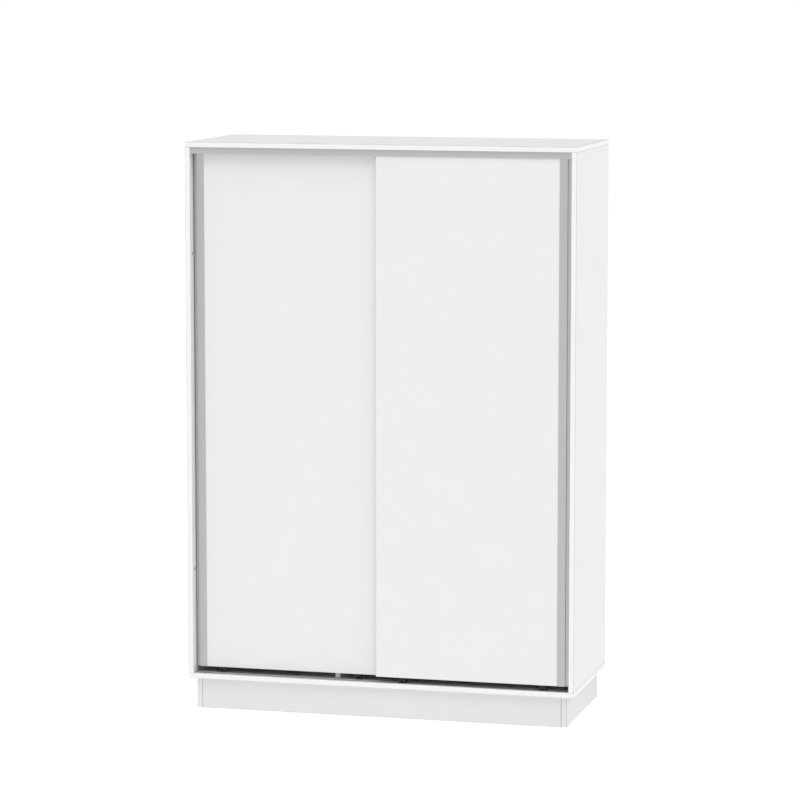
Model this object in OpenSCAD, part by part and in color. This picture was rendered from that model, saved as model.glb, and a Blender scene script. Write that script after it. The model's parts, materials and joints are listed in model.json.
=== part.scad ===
// Sliding door wardrobe: two bypassing doors on a recessed plinth.
// X runs along the front, Y from the front to the back, Z up from the floor.
// The origin is on the floor at the middle of the footprint.

/* [Carcass] */
// Overall width
width = 1200; // [950:10:1600]
// Overall depth, from the front edging to the nail heads at the back
depth = 480; // [400:5:650]
// Overall height, from the floor to the top face
height = 1730; // [1400:10:2300]
// Thickness of the chipboard panels
board_t = 16; // [15:1:22]
// Thickness of the edging on the visible edges
edging_t = 0.8; // [0.4:0.1:2]
// Thickness of the hardboard back
back_t = 3; // [2.5:0.1:5]
// Margin between the back sheets and the carcass outline
back_margin = 2; // [1:0.5:6]

/* [Plinth] */
// Height from the floor to the underside of the bottom panel
plinth_h = 94; // [60:1:150]
// How far the plinth stands behind the front edge
plinth_front_in = 14; // [5:1:60]
// How far the plinth stands in from each end
plinth_side_in = 24; // [5:1:60]
// Height of a floor glide's pad
glide_h = 2; // [1:0.5:6]
// Diameter of a floor glide's pad
glide_d = 14; // [10:1:15]
// Edge length of a corner block
block_s = 22; // [18:1:30]

/* [Tracks] */
// Height of the top track's fascia
fascia_h = 18.5; // [15:0.5:60]
// How far the fascia stands behind the front edge
fascia_in = 1; // [0:0.5:10]
// Wall thickness of the track profiles
track_wall = 1.2; // [1:0.1:2]
// Thickness of the top track's roof
track_roof = 1.5; // [1:0.1:3]
// Gap between a door's grip profile and the walls of its lane
lane_gap = 0.8; // [0.5:0.1:2]
// Depth of the bottom channel below the panel's face
channel_depth = 6; // [4:0.5:8]
// Width inside the bottom channel
channel_w = 6.2; // [5:0.1:8]
// Width of the flange on each side of the bottom channel
channel_flange_w = 2.4; // [1:0.1:4]
// Thickness of those flanges, which lie on the panel
channel_flange_t = 0.8; // [0.5:0.1:1.5]

/* [Doors] */
// Thickness of a door board
door_t = 16; // [15:1:18]
// How far the closed doors overlap in the middle
door_overlap = 18; // [10:1:60]
// Gap between a closed door and the side panel
side_gap = 2; // [1.5:0.5:5]
// Gap between a door's lower edge and the bottom panel
under_gap = 17.4; // [16:0.1:30]
// How much of a door's upper edge the fascia hides
top_cover = 6; // [3:0.5:12]
// Free height over a guide, to lift a door off its track
lift_gap = 6.5; // [5:0.5:10]

/* [Grip profile] */
// Width of the flat face
grip_face_w = 24.5; // [22:0.5:40]
// Width of the finger groove beside the face
grip_groove_w = 9; // [8:0.5:20]
// Depth of the finger groove
grip_groove_d = 7; // [5:0.5:10]
// Thickness of the flanges over the board's faces
grip_flange_t = 1; // [0.8:0.1:2]
// Wall thickness of the profile
grip_wall = 1.2; // [1:0.1:2]
// How far the board sits in the profile
grip_slot = 16; // [10:1:20]

/* [Rollers] */
// Diameter of a wheel
wheel_d = 22; // [18:0.5:22]
// Width of a wheel
wheel_w = 5; // [4:0.5:6]
// Diameter of an axle
axle_d = 4; // [3:0.5:5]
// Thickness of a roller bracket
bracket_t = 1.5; // [1:0.1:2.5]
// Width of a roller bracket
bracket_w = 50; // [40:1:70]
// Height of a roller bracket over the door's lower edge
bracket_h = 38; // [30:1:60]
// Width of the tongue that carries the axle
tongue_w = 20; // [14:1:30]
// Distance from a door's vertical edges to its rollers and guides
roller_in = 80; // [60:5:150]
// Length of a top guide
guide_l = 36; // [24:1:60]

/* [Interior] */
// Distance from the left end to the middle of the partition
partition_at = 460; // [400:5:700]
// Gap between the top track and the front of the partition and the hat shelf
inner_clear = 4.2; // [2:0.1:40]
// How far the loose shelves stand behind the partition's front edge
shelf_in = 6; // [0:1:30]
// Gap at each end of a loose shelf
shelf_gap = 1; // [0.5:0.5:2]
// Number of loose shelves
shelf_count = 4; // [2:1:5]
// Diameter of the hanging rail
rail_d = 25; // [20:1:32]
// Wall thickness of the hanging rail
rail_wall = 1; // [0.8:0.1:2]
// Distance from the hat shelf to the middle of the rail
rail_drop = 55; // [40:1:90]

/* [Fittings] */
// Diameter of a cam disc
cam_d = 15; // [12:1:15]
// Thickness of a cam disc
cam_t = 12; // [10:0.5:13]
// Distance from the panel's end to the middle of a cam disc
cam_in = 34; // [24:1:40]
// Diameter of a dowel
dowel_d = 8; // [6:1:8]
// Length of a dowel
dowel_l = 30; // [25:1:40]
// Diameter of a shelf pin
pin_d = 5; // [5:1:7]
// Spacing of the shelf pin holes
pin_pitch = 32; // [25:1:40]
// Diameter of the holes for the wall screws
wall_hole_d = 5.5; // [4:0.5:8]
// Distance from each end to a wall screw
wall_hole_in = 220; // [150:5:350]
// Diameter of a door buffer
buffer_d = 8; // [6:1:9]

/* [Hidden] */
SHELVES = [for (i = [1 : shelf_count]) str("shelf_", i)];

$fn = 48;
// Overshoot of a cut, so that no skin is left
cut = 1;
// Radial clearance of a pin in its bore
bore_gap = 0.05;
// Gap under a wheel, and between fixed and moving flat faces
run_gap = 0.3;
LEFT = -1;
RIGHT = 1;
white = "#f2f2f1";
silver = "#b9babb";
steel = "#c9cbce";
hardboard = "#8a6a4a";
beech = "#d8b98a";
nylon = "#e8e8e6";
rubber_grey = "#6b6c6e";

// Levels
front = -depth / 2;
half_w = width / 2;
inner_half = half_w - board_t;
floor_z = plinth_h + board_t;
top_z = height - board_t;
inner_h = top_z - floor_z;

// Back: the sheets lie on the panels' rear edges and the nail heads on the sheets
nail_head_t = 0.8;
nail_head_d = 4.5;
nail_d = 1.6;
nail_l = 20;
nail_end_z = 40;
nail_end_x = 75;
nail_seam_in = 4;
panel_back = depth - nail_head_t - back_t;
back_x = half_w - back_margin;
back_z0 = plinth_h + back_margin;
back_z1 = height - back_margin;
back_seam = 0.5;
nail_rows = 12;
nail_columns = 9;

// Lanes of the two doors: lane 0 is the front one, and lane_d0 is its front wall's rear face
lane_w = door_t + 2 * (grip_flange_t + lane_gap);
lane_pitch = lane_w + track_wall;
function lane_d0(lane) = fascia_in + track_wall + lane * lane_pitch;
function lane_mid(lane) = lane_d0(lane) + lane_w / 2;
function face_d(lane) = lane_mid(lane) - door_t / 2;
track_depth = track_wall + 2 * lane_pitch;

// Distance from the front edge to the partition and the hat shelf
inner_front = fascia_in + track_depth + inner_clear;

// Outer faces of the plinth's side boards
plinth_x = half_w - plinth_side_in;

// Partition and shelves
partition_x = partition_at - half_w;
partition_x0 = partition_x - board_t / 2;
partition_x1 = partition_x + board_t / 2;
shelf_space = (inner_h - shelf_count * board_t) / (shelf_count + 1);
function shelf_z(i) = floor_z + i * shelf_space + (i - 1) * board_t;
shelf_front = inner_front + shelf_in;
hat_z = shelf_z(shelf_count);
pin_front_in = 40;
pin_back_in = 50;
pin_rows = [shelf_front + pin_front_in, panel_back - pin_back_in];
pin_in = 7;
pin_out = 8;
pin_collar_d = 8;
pin_choices = [-1, 0, 1];

// Hanging rail
rail_z = hat_z - rail_drop;
rail_depth = (inner_front + panel_back) / 2;
socket_base_d = 46;
socket_base_t = 4;
socket_cup_l = 16;
socket_cup_wall = 2.4;
socket_screw_r = 18.7;
socket_screw_l = 14;

// Nails of the floor glides
glide_nail_d = 2;
glide_nail_l = 14;
glide_in = 30;

track_z = top_z - fascia_h;
function lane_of(side) = side == RIGHT ? 0 : 1;

// Doors, measured for the one on the right: the one on the left is its mirror image
door_w = inner_half + door_overlap / 2 - side_gap;
door_out = inner_half - side_gap;
door_in = door_out - door_w;
door_z0 = floor_z + under_gap;
door_z1 = track_z + top_cover;
grip_w = grip_face_w + grip_groove_w;
grip_x = door_out - grip_w;
board_out = grip_x + grip_slot;
roller_xs = [door_out - roller_in, door_in + roller_in];

// Bottom channels and wheels
axle_head_d = 7;
axle_head_t = 1.2;
// The wheels sink less into the channels where their axle heads would reach the flanges
sink_most = wheel_d / 2 - axle_head_d / 2 - channel_flange_t;
channel_floor_z = floor_z - min(channel_depth, sink_most);
channel_outer_w = channel_w + 2 * track_wall;
axle_z = channel_floor_z + run_gap + wheel_d / 2;
// Metal of the tongue under the axle, and its length over the door's lower edge
tongue_lip = 3;
tongue_rise = tongue_w / 4;
spoke_holes = 5;
spoke_hole_d = 3.2;
hub_d = 8;
rim_t = 3;
web_in = 1;
tread_bevel = 0.6;

// Top guides
guide_z = top_z - track_roof - lift_gap;
guide_w = lane_w - 2 * run_gap;
guide_stem_d = 8;
guide_stem_l = 18;

// Cams and dowels stand in two rows, one towards the front and one towards the back
cam_front_in = 32;
cam_back_in = 60;
dowel_gap = 32;
cam_rows = [inner_front + cam_front_in, panel_back - cam_back_in];
dowel_rows = [cam_rows[0] + dowel_gap, cam_rows[1] - dowel_gap];
dowel_in_face = 11;
cam_bolt_d = 6;
cam_bolt_bore = 8;
cam_bolt_thread_d = 5;
cam_bolt_thread_l = 11;
cam_bolt_neck_d = 3.6;
cam_bolt_neck_l = 4;
cam_bolt_head_d = 6;
cam_bolt_head_t = 2;
cam_bolt_neck_z = cam_in - cam_bolt_head_t - cam_bolt_neck_l;
cam_socket_d = 5;
cam_socket_t = 2;
partition_screw_d = 6.4;
partition_screw_head_d = 10;
partition_screw_l = 50;
partition_screw_row = 190;
partition_screw_head_t = 2.5;
partition_screw_socket = 4;
partition_screw_socket_t = 3;

// Wood screws
screw_d = 3.5;
screw_head_d = 7;
screw_head_t = 1.6;
screw_head_bevel = 0.6;
track_screw_l = 13;
track_screw_count = 5;
track_screw_end = 70;
block_seat = 4;
// Length of a block's screws in the boards. They stay under the channels, and short of the screws
// that come from the other face of the middle board
block_screw_under = 1;
block_screw_apart = 0.4;
block_screw_l = min((board_t - block_screw_apart) / 2,
                    channel_floor_z - track_wall - plinth_h - block_screw_under);
// Parts of a block's edge length: its legs, and where its screws stand
block_leg = 0.45;
block_screw_up = 0.4;
block_screw_aside = 0.18;

// Wall brackets stand under the top panel, against the back
wall_bracket_w = 40;
wall_bracket_leg = 28;
wall_bracket_t = 2;
wall_hole_drop = 16;
wall_hole_z = top_z - wall_hole_drop;
wall_xs = [-(half_w - wall_hole_in), half_w - wall_hole_in];

// Buffers on the side panels
buffer_gap = 0.4;
buffer_t = side_gap - buffer_gap;
buffer_shift = 3;
buffer_zs = [floor_z + inner_h / 5, floor_z + inner_h * 4 / 5];

// A box from three ranges: along X, from the front edge back, and up from the floor
module slab(x, d, z)
    translate([x[0], front + d[0], z[0]])
        cube([x[1] - x[0], d[1] - d[0], z[1] - z[0]]);

// A rod upwards from a point given as X, distance from the front, and height
module rod_up(x, d, z, dia, l)
    translate([x, front + d, z]) cylinder(d = dia, h = l);

// A rod along X, towards +X
module rod_x(x, d, z, dia, l)
    translate([x, front + d, z]) rotate([0, 90, 0]) cylinder(d = dia, h = l);

// A rod from front to back
module rod_back(x, d, z, dia, l)
    translate([x, front + d, z]) rotate([-90, 0, 0]) cylinder(d = dia, h = l);

// A shape made for the right, mirrored when it is wanted on the left
module on_side(side)
    if (side == LEFT)
        mirror([1, 0, 0]) children();
    else
        children();

// A countersunk screw that points up, with its head's face at the origin
module countersunk_screw(l, d, head_d, head_t)
    rotate_extrude()
        polygon([[0, 0], [head_d / 2, 0], [d / 2, head_t], [d / 2, l - d], [0, l]]);

// A flat headed screw that points up, with its head below the origin
module pan_screw(l, d = screw_d, head_d = screw_head_d, head_t = screw_head_t)
    rotate_extrude()
        polygon([[0, -head_t], [head_d / 2 - screw_head_bevel, -head_t],
                 [head_d / 2, screw_head_bevel - head_t],
                 [head_d / 2, 0], [d / 2, 0], [d / 2, l - d], [0, l]]);

// ---- Carcass panels ----

// Edging on the front edge and both ends of a full width panel
module panel_edging(z)
    difference() {
        slab([-half_w, half_w], [0, panel_back], z);
        slab([-half_w + edging_t, half_w - edging_t], [edging_t, panel_back + cut],
             [z[0] - cut, z[1] + cut]);
    }

// A blind hole from a face at height z, upwards when way is 1 and downwards when it is -1
module blind_bore(x, d, z, way, dia, l)
    translate([0, 0, z]) mirror([0, 0, way == 1 ? 0 : 1])
        rod_up(x, d, -cut, dia + 2 * bore_gap, l + cut + bore_gap);

// A hole in the lower (end 0) or upper (end 1) edge of an upright panel
module edge_bore(x, d, end, dia, l)
    blind_bore(x, d, end == 0 ? floor_z : top_z, end == 0 ? 1 : -1, dia, l);

// Bores in a full width panel for the bolts and dowels of both side panels
module end_bores(z, way)
    for (side = [LEFT, RIGHT]) {
        x = side * (half_w - board_t / 2);
        for (d = cam_rows)
            blind_bore(x, d, z, way, cam_bolt_thread_d, cam_bolt_thread_l);
        for (d = dowel_rows)
            blind_bore(x, d, z, way, dowel_d, dowel_in_face);
    }

// Bores in a full width panel for the dowels of the partition
module partition_bores(z, way)
    for (d = dowel_rows)
        blind_bore(partition_x, d, z, way, dowel_d, dowel_in_face);

// The hole of a partition screw through a panel, upwards from its head's face
module partition_screw_bore()
    rotate_extrude()
        polygon([[0, -cut], [partition_screw_head_d / 2 + bore_gap, -cut],
                 [partition_screw_head_d / 2 + bore_gap, 0],
                 [partition_screw_d / 2 + bore_gap, partition_screw_head_t],
                 [partition_screw_d / 2 + bore_gap, board_t + cut], [0, board_t + cut]]);

// Places a child at the partition screw's head: end 0 under the floor, end 1 on the top
module at_partition_screw(end)
    translate([partition_x, front + partition_screw_row, end == 0 ? plinth_h : height])
        mirror([0, 0, end]) children();

// Height of a side panel's cam discs near its lower (end 0) or upper (end 1) edge
function cam_z(end) = end == 0 ? floor_z + cam_in : top_z - cam_in;

// Holes for the cam discs, and for the bolts that reach them through the panel's ends
module cam_bores(side)
    for (end = [0, 1])
        for (d = cam_rows) {
            on_side(side)
                rod_x(inner_half - cut, d, cam_z(end), cam_d + 2 * bore_gap, cam_t + cut + run_gap);
            edge_bore(side * (half_w - board_t / 2), d, end, cam_bolt_bore, cam_in);
        }

// Shelf pin holes in the face at x; side says which way they go into the panel
module pin_bores(x, side, shelves, choices)
    for (i = shelves)
        for (step = choices)
            for (d = pin_rows)
                translate([x, 0, 0]) on_side(side)
                    rod_x(-cut, d, shelf_z(i) - pin_d / 2 + step * pin_pitch,
                          pin_d + 2 * bore_gap, pin_in + cut + bore_gap);

module top_panel()
    color(white)
    difference() {
        slab([-half_w + edging_t, half_w - edging_t], [edging_t, panel_back], [top_z, height]);
        end_bores(top_z, 1);
        partition_bores(top_z, 1);
        at_partition_screw(1) partition_screw_bore();
    }

module top_edging()
    color(white) panel_edging([top_z, height]);

module bottom_panel()
    color(white)
    difference() {
        slab([-half_w + edging_t, half_w - edging_t], [edging_t, panel_back], [plinth_h, floor_z]);
        end_bores(floor_z, -1);
        partition_bores(floor_z, -1);
        at_partition_screw(0) partition_screw_bore();
        for (lane = [0, 1])
            slab([-inner_half, inner_half],
                 [lane_mid(lane) - channel_outer_w / 2, lane_mid(lane) + channel_outer_w / 2],
                 [channel_floor_z - track_wall, floor_z + cut]);
    }

module bottom_edging()
    color(white) panel_edging([plinth_h, floor_z]);

module side_panel(side)
    color(white)
    difference() {
        on_side(side)
            slab([inner_half, half_w], [edging_t, panel_back], [floor_z, top_z]);
        cam_bores(side);
        for (end = [0, 1])
            for (d = dowel_rows)
                edge_bore(side * (half_w - board_t / 2), d, end, dowel_d, dowel_l - dowel_in_face);
        if (side == LEFT)
            pin_bores(-inner_half, LEFT, [1 : shelf_count], pin_choices);
        else
            pin_bores(inner_half, RIGHT, [shelf_count], [0]);
    }

module side_edging(side)
    color(white)
    on_side(side)
        slab([inner_half, half_w], [0, edging_t], [floor_z, top_z]);

module partition()
    color(white)
    difference() {
        slab([partition_x0, partition_x1], [inner_front + edging_t, panel_back], [floor_z, top_z]);
        for (end = [0, 1]) {
            for (d = dowel_rows)
                edge_bore(partition_x, d, end, dowel_d, dowel_l - dowel_in_face);
            edge_bore(partition_x, partition_screw_row, end, partition_screw_d,
                      partition_screw_l - board_t);
        }
        pin_bores(partition_x0, RIGHT, [1 : shelf_count], pin_choices);
        pin_bores(partition_x1, LEFT, [shelf_count], [0]);
    }

module partition_edging()
    color(white)
    slab([partition_x0, partition_x1], [inner_front, inner_front + edging_t], [floor_z, top_z]);

// ---- Shelves ----

module shelf(i)
    color(white)
    slab([-inner_half + shelf_gap, partition_x0 - shelf_gap],
         [shelf_front + edging_t, panel_back - shelf_gap], [shelf_z(i), shelf_z(i) + board_t]);

module hat_shelf()
    color(white)
    slab([partition_x1 + shelf_gap, inner_half - shelf_gap],
         [shelf_front + edging_t, panel_back - shelf_gap], [hat_z, hat_z + board_t]);

module shelf_edging()
    color(white) {
        for (i = [1 : shelf_count])
            slab([-inner_half + shelf_gap, partition_x0 - shelf_gap],
                 [shelf_front, shelf_front + edging_t], [shelf_z(i), shelf_z(i) + board_t]);
        slab([partition_x1 + shelf_gap, inner_half - shelf_gap],
             [shelf_front, shelf_front + edging_t], [hat_z, hat_z + board_t]);
    }

// ---- Back ----

module back_panel(side)
    color(hardboard)
    difference() {
        slab(side == LEFT ? [-back_x, partition_x - back_seam / 2]
                          : [partition_x + back_seam / 2, back_x],
             [panel_back, panel_back + back_t], [back_z0, back_z1]);
        translate([wall_xs[side == LEFT ? 0 : 1], front + panel_back - cut, wall_hole_z])
            rotate([-90, 0, 0]) cylinder(d = wall_hole_d, h = back_t + 2 * cut);
    }

// One nail, with its head's rear face on the carcass's rearmost plane
module nail(x, z) {
    rod_back(x, depth - nail_l, z, nail_d, nail_l - nail_head_t);
    rod_back(x, depth - nail_head_t, z, nail_head_d, nail_head_t);
}

// Nails into both sides, beside the seam into the partition, and into the top and bottom panels
module back_nails()
    color(steel) {
        for (i = [0 : nail_rows - 1]) {
            z = back_z0 + nail_end_z + i * (back_z1 - back_z0 - 2 * nail_end_z) / (nail_rows - 1);
            for (x = [-half_w + board_t / 2, partition_x - nail_seam_in,
                      partition_x + nail_seam_in, half_w - board_t / 2])
                nail(x, z);
        }
        for (i = [0 : nail_columns - 1]) {
            x = -half_w + nail_end_x + i * (width - 2 * nail_end_x) / (nail_columns - 1);
            for (z = [plinth_h + board_t / 2, top_z + board_t / 2])
                nail(x, z);
        }
    }

// ---- Plinth ----

module plinth_board(x, d)
    slab(x, d, [glide_h, plinth_h]);

module plinth_front()
    color(white)
    plinth_board([-plinth_x + board_t, plinth_x - board_t], [plinth_front_in, plinth_front_in + board_t]);

module plinth_back()
    color(white)
    plinth_board([-plinth_x + board_t, plinth_x - board_t], [panel_back - board_t, panel_back]);

module plinth_side(side)
    color(white)
    on_side(side) plinth_board([plinth_x - board_t, plinth_x], [plinth_front_in, panel_back]);

module plinth_middle()
    color(white)
    plinth_board([-board_t / 2, board_t / 2], [plinth_front_in + board_t, panel_back - board_t]);

// Places a child in each inner corner of the plinth, with its +X and +Y pointing into the room there
module at_plinth_corners()
    for (side = [LEFT, RIGHT])
        for (end = [0, 1])
            on_side(side)
                translate([0, front + (end == 0 ? plinth_front_in + board_t : panel_back - board_t), 0])
                    mirror([0, end, 0]) {
                        translate([plinth_x - board_t, 0, 0]) mirror([1, 0, 0]) children();
                        translate([board_t / 2, 0, 0]) children();
                    }

// Places a child at the seat of each of a block's screws: up into the bottom panel, and sideways
module at_block_screws() {
    translate([block_s * block_screw_up, block_s * block_screw_up, plinth_h - block_s + block_seat])
        children();
    translate([block_s - block_seat, block_s * block_screw_aside, plinth_h - block_s / 2])
        rotate([0, -90, 0]) children();
}

module plinth_blocks()
    color(nylon)
    at_plinth_corners()
        difference() {
            translate([0, 0, plinth_h - block_s])
                linear_extrude(block_s)
                    polygon([[0, 0], [block_s, 0], [block_s, block_s * block_leg],
                             [block_s * block_leg, block_s], [0, block_s]]);
            at_block_screws() {
                cylinder(d = screw_d + 2 * run_gap, h = 2 * block_s);
                translate([0, 0, -block_s])
                    cylinder(d = screw_head_d + 2 * run_gap, h = block_s);
            }
        }

module plinth_screws()
    color(steel)
    at_plinth_corners()
        at_block_screws() pan_screw(block_s - block_seat + block_screw_l);

// A pad under a board's lower edge, with its nail
module floor_glides()
    color(nylon)
    for (side = [LEFT, RIGHT])
        on_side(side) {
            for (d = [plinth_front_in + glide_in, panel_back - glide_in])
                glide(plinth_x - board_t / 2, d);
            glide(plinth_x / 2, plinth_front_in + board_t / 2);
            glide(plinth_x / 2, panel_back - board_t / 2);
        }

module glide(x, d) {
    rod_up(x, d, 0, glide_d, glide_h);
    rod_up(x, d, glide_h, glide_nail_d, glide_nail_l);
}

// ---- Tracks ----

// The top track: a roof with three legs, drawn as its section in depth and height
module top_track()
    color(silver)
    difference() {
        slab([-inner_half, inner_half], [fascia_in, fascia_in + track_depth], [track_z, top_z]);
        for (lane = [0, 1])
            slab([-inner_half - cut, inner_half + cut], [lane_d0(lane), lane_d0(lane) + lane_w],
                 [track_z - cut, top_z - track_roof]);
        at_track_screws()
            translate([0, 0, -cut])
                cylinder(d = screw_d + 2 * bore_gap, h = track_roof + 2 * cut);
    }

// Places a child at each screw of the top track, on the roof's lower face
module at_track_screws()
    for (lane = [0, 1])
        for (i = [0 : track_screw_count - 1])
            translate([-inner_half + track_screw_end
                       + i * 2 * (inner_half - track_screw_end) / (track_screw_count - 1),
                       front + lane_mid(lane), top_z - track_roof])
                children();

module track_screws()
    color(steel)
    at_track_screws() pan_screw(track_screw_l);

// A channel let into the bottom panel, with flanges that lie on the panel
module bottom_track(lane)
    color(silver)
    difference() {
        union() {
            slab([-inner_half, inner_half],
                 [lane_mid(lane) - channel_outer_w / 2, lane_mid(lane) + channel_outer_w / 2],
                 [channel_floor_z - track_wall, floor_z]);
            slab([-inner_half, inner_half],
                 [lane_mid(lane) - channel_outer_w / 2 - channel_flange_w,
                  lane_mid(lane) + channel_outer_w / 2 + channel_flange_w],
                 [floor_z, floor_z + channel_flange_t]);
        }
        slab([-inner_half - cut, inner_half + cut],
             [lane_mid(lane) - channel_w / 2, lane_mid(lane) + channel_w / 2],
             [channel_floor_z, floor_z + channel_flange_t + cut]);
    }

// ---- Hanging rail ----

module hanging_rail()
    color("silver")
    difference() {
        rail_rod(rail_d, partition_x1 + socket_base_t, inner_half - socket_base_t);
        rail_rod(rail_d - 2 * rail_wall, partition_x1, inner_half);
    }

module rail_rod(dia, x0, x1)
    rod_x(x0, rail_depth, rail_z, dia, x1 - x0);

// A socket: a base screwed to the panel, and a cup round the rail's end
module rail_sockets()
    color("silver")
    difference() {
        union() {
            rail_rod(socket_base_d, partition_x1, partition_x1 + socket_base_t);
            rail_rod(socket_base_d, inner_half - socket_base_t, inner_half);
            rail_rod(rail_d + 2 * socket_cup_wall, partition_x1, partition_x1 + socket_cup_l);
            rail_rod(rail_d + 2 * socket_cup_wall, inner_half - socket_cup_l, inner_half);
        }
        rail_rod(rail_d + 2 * bore_gap, partition_x1 + socket_base_t, inner_half - socket_base_t);
        at_socket_screws()
            translate([0, 0, -socket_base_t - cut])
                cylinder(d = screw_d + 2 * bore_gap, h = socket_base_t + 2 * cut);
    }

// Places a child at each socket screw, on the panel's face and pointing into the panel
module at_socket_screws()
    for (way = [LEFT, RIGHT])
        for (z = [-socket_screw_r, socket_screw_r])
            translate([way == RIGHT ? inner_half : partition_x1, front + rail_depth, rail_z + z])
                rotate([0, 90 * way, 0]) children();

module rail_socket_screws()
    color(steel)
    at_socket_screws()
        translate([0, 0, -socket_base_t]) pan_screw(socket_screw_l);

// ---- Fittings ----

// Pins under every shelf: into the panel at x, on the side that side names
module shelf_pins()
    color("silver")
    for (d = pin_rows) {
        for (i = [1 : shelf_count]) {
            shelf_pin(-inner_half, RIGHT, d, shelf_z(i));
            shelf_pin(partition_x0, LEFT, d, shelf_z(i));
        }
        shelf_pin(partition_x1, RIGHT, d, hat_z);
        shelf_pin(inner_half, LEFT, d, hat_z);
    }

// One pin that stands out of the face at x, towards side, and carries a shelf at height z
module shelf_pin(x, side, d, z)
    translate([x, 0, 0]) on_side(side) {
        rod_x(-pin_in, d, z - pin_d / 2, pin_d, pin_in + pin_out);
        rod_x(0, d, z - pin_d / 2, pin_collar_d, shelf_gap);
    }

// Discs in the side panels, which hold the bolts' heads
module cam_discs()
    color("silver")
    for (side = [LEFT, RIGHT])
        for (end = [0, 1])
            for (d = cam_rows)
                on_side(side)
                    difference() {
                        rod_x(inner_half, d, cam_z(end), cam_d, cam_t);
                        rod_x(inner_half - cut, d, cam_z(end), cam_socket_d, cam_socket_t + cut);
                        // The slot in which the bolt's head sits
                        slab([half_w - board_t / 2 - cam_bolt_head_d / 2 - run_gap,
                              half_w - board_t / 2 + cam_bolt_head_d / 2 + run_gap],
                             [d - cam_bolt_head_d / 2 - run_gap, d + cam_bolt_head_d / 2 + run_gap],
                             cam_slot_z(end));
                    }

function cam_slot_z(end) = end == 0
    ? [cam_z(0) - cam_d / 2 - cut, cam_z(0) + run_gap]
    : [cam_z(1) - run_gap, cam_z(1) + cam_d / 2 + cut];

// Bolts that stand in the top and bottom panels and reach into the discs
module cam_bolts()
    color(steel)
    for (side = [LEFT, RIGHT])
        for (end = [0, 1])
            for (d = cam_rows)
                translate([side * (half_w - board_t / 2), front + d, end == 0 ? floor_z : top_z])
                    mirror([0, 0, end])
                        rotate_extrude()
                            polygon([[0, -cam_bolt_thread_l], [cam_bolt_thread_d / 2, -cam_bolt_thread_l],
                                     [cam_bolt_thread_d / 2, 0], [cam_bolt_d / 2, 0],
                                     [cam_bolt_d / 2, cam_bolt_neck_z],
                                     [cam_bolt_neck_d / 2, cam_bolt_neck_z],
                                     [cam_bolt_neck_d / 2, cam_in - cam_bolt_head_t],
                                     [cam_bolt_head_d / 2, cam_in - cam_bolt_head_t],
                                     [cam_bolt_head_d / 2, cam_in], [0, cam_in]]);

// Dowels between the top and bottom panels and the upright ones
module dowels()
    color(beech)
    for (x = [-half_w + board_t / 2, partition_x, half_w - board_t / 2])
        for (end = [0, 1])
            for (d = dowel_rows)
                translate([x, front + d, end == 0 ? floor_z : top_z])
                    mirror([0, 0, end])
                        translate([0, 0, -dowel_in_face]) cylinder(d = dowel_d, h = dowel_l);

// Screws with a hexagon socket, through the top and bottom panels into the partition
module partition_screws()
    color("dimgray")
    for (end = [0, 1])
        at_partition_screw(end)
            difference() {
                rotate_extrude()
                    polygon([[0, 0], [partition_screw_head_d / 2, 0],
                             [partition_screw_d / 2, partition_screw_head_t],
                             [partition_screw_d / 2, partition_screw_l - partition_screw_d],
                             [0, partition_screw_l]]);
                translate([0, 0, -cut])
                    cylinder(d = partition_screw_socket, h = partition_screw_socket_t + cut, $fn = 6);
            }

// Angles under the top panel, against the back, with a hole for the wall screw
module wall_brackets()
    color(steel)
    for (x = wall_xs)
        difference() {
            union() {
                slab([x - wall_bracket_w / 2, x + wall_bracket_w / 2],
                     [panel_back - wall_bracket_leg, panel_back], [top_z - wall_bracket_t, top_z]);
                slab([x - wall_bracket_w / 2, x + wall_bracket_w / 2],
                     [panel_back - wall_bracket_t, panel_back], [top_z - wall_bracket_leg, top_z]);
            }
            rod_back(x, panel_back - wall_bracket_t - cut, wall_hole_z, wall_hole_d,
                     wall_bracket_t + 2 * cut);
            for (way = [LEFT, RIGHT])
                rod_up(x + way * wall_bracket_w / 4, panel_back - wall_bracket_leg / 2,
                       top_z - wall_bracket_t - cut, screw_d + 2 * bore_gap, wall_bracket_t + 2 * cut);
        }

module wall_bracket_screws()
    color(steel)
    for (x = wall_xs)
        for (way = [LEFT, RIGHT])
            translate([x + way * wall_bracket_w / 4, front + panel_back - wall_bracket_leg / 2,
                       top_z - wall_bracket_t])
                pan_screw(track_screw_l);

// Pads on the side panels, where the doors' edges come to rest
module door_buffers()
    color(rubber_grey)
    for (side = [LEFT, RIGHT])
        for (lane = [0, 1])
            for (z = buffer_zs)
                on_side(side)
                    rod_x(inner_half - buffer_t, lane_mid(lane) + buffer_shift, z, buffer_d, buffer_t);

// ---- Doors, drawn on the right; the door on the left is the mirror image in the rear lane ----

// The board, with the pockets of its brackets and the bores of its guides
module door_panel(side)
    color(white)
    on_side(side)
        difference() {
            slab([door_in + edging_t, board_out], [face_d(lane_of(side)), face_d(lane_of(side)) + door_t],
                 [door_z0 + edging_t, door_z1 - edging_t]);
            door_cuts(side);
        }

module door_cuts(side)
    for (x = roller_xs) {
        slab([x - bracket_w / 2 - run_gap, x + bracket_w / 2 + run_gap],
             [bracket_d(side) - bore_gap, bracket_d(side) + bracket_t + cut],
             [door_z0 - cut, door_z0 + bracket_h + run_gap]);
        for (way = [LEFT, RIGHT])
            rod_up(x + way * guide_l / 4, lane_mid(lane_of(side)), door_z1 - guide_stem_l - bore_gap,
                   guide_stem_d + 2 * bore_gap, guide_stem_l + cut);
    }

// Distance from the front edge to a bracket's front face
function bracket_d(side) = face_d(lane_of(side)) + door_t - bracket_t;

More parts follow.
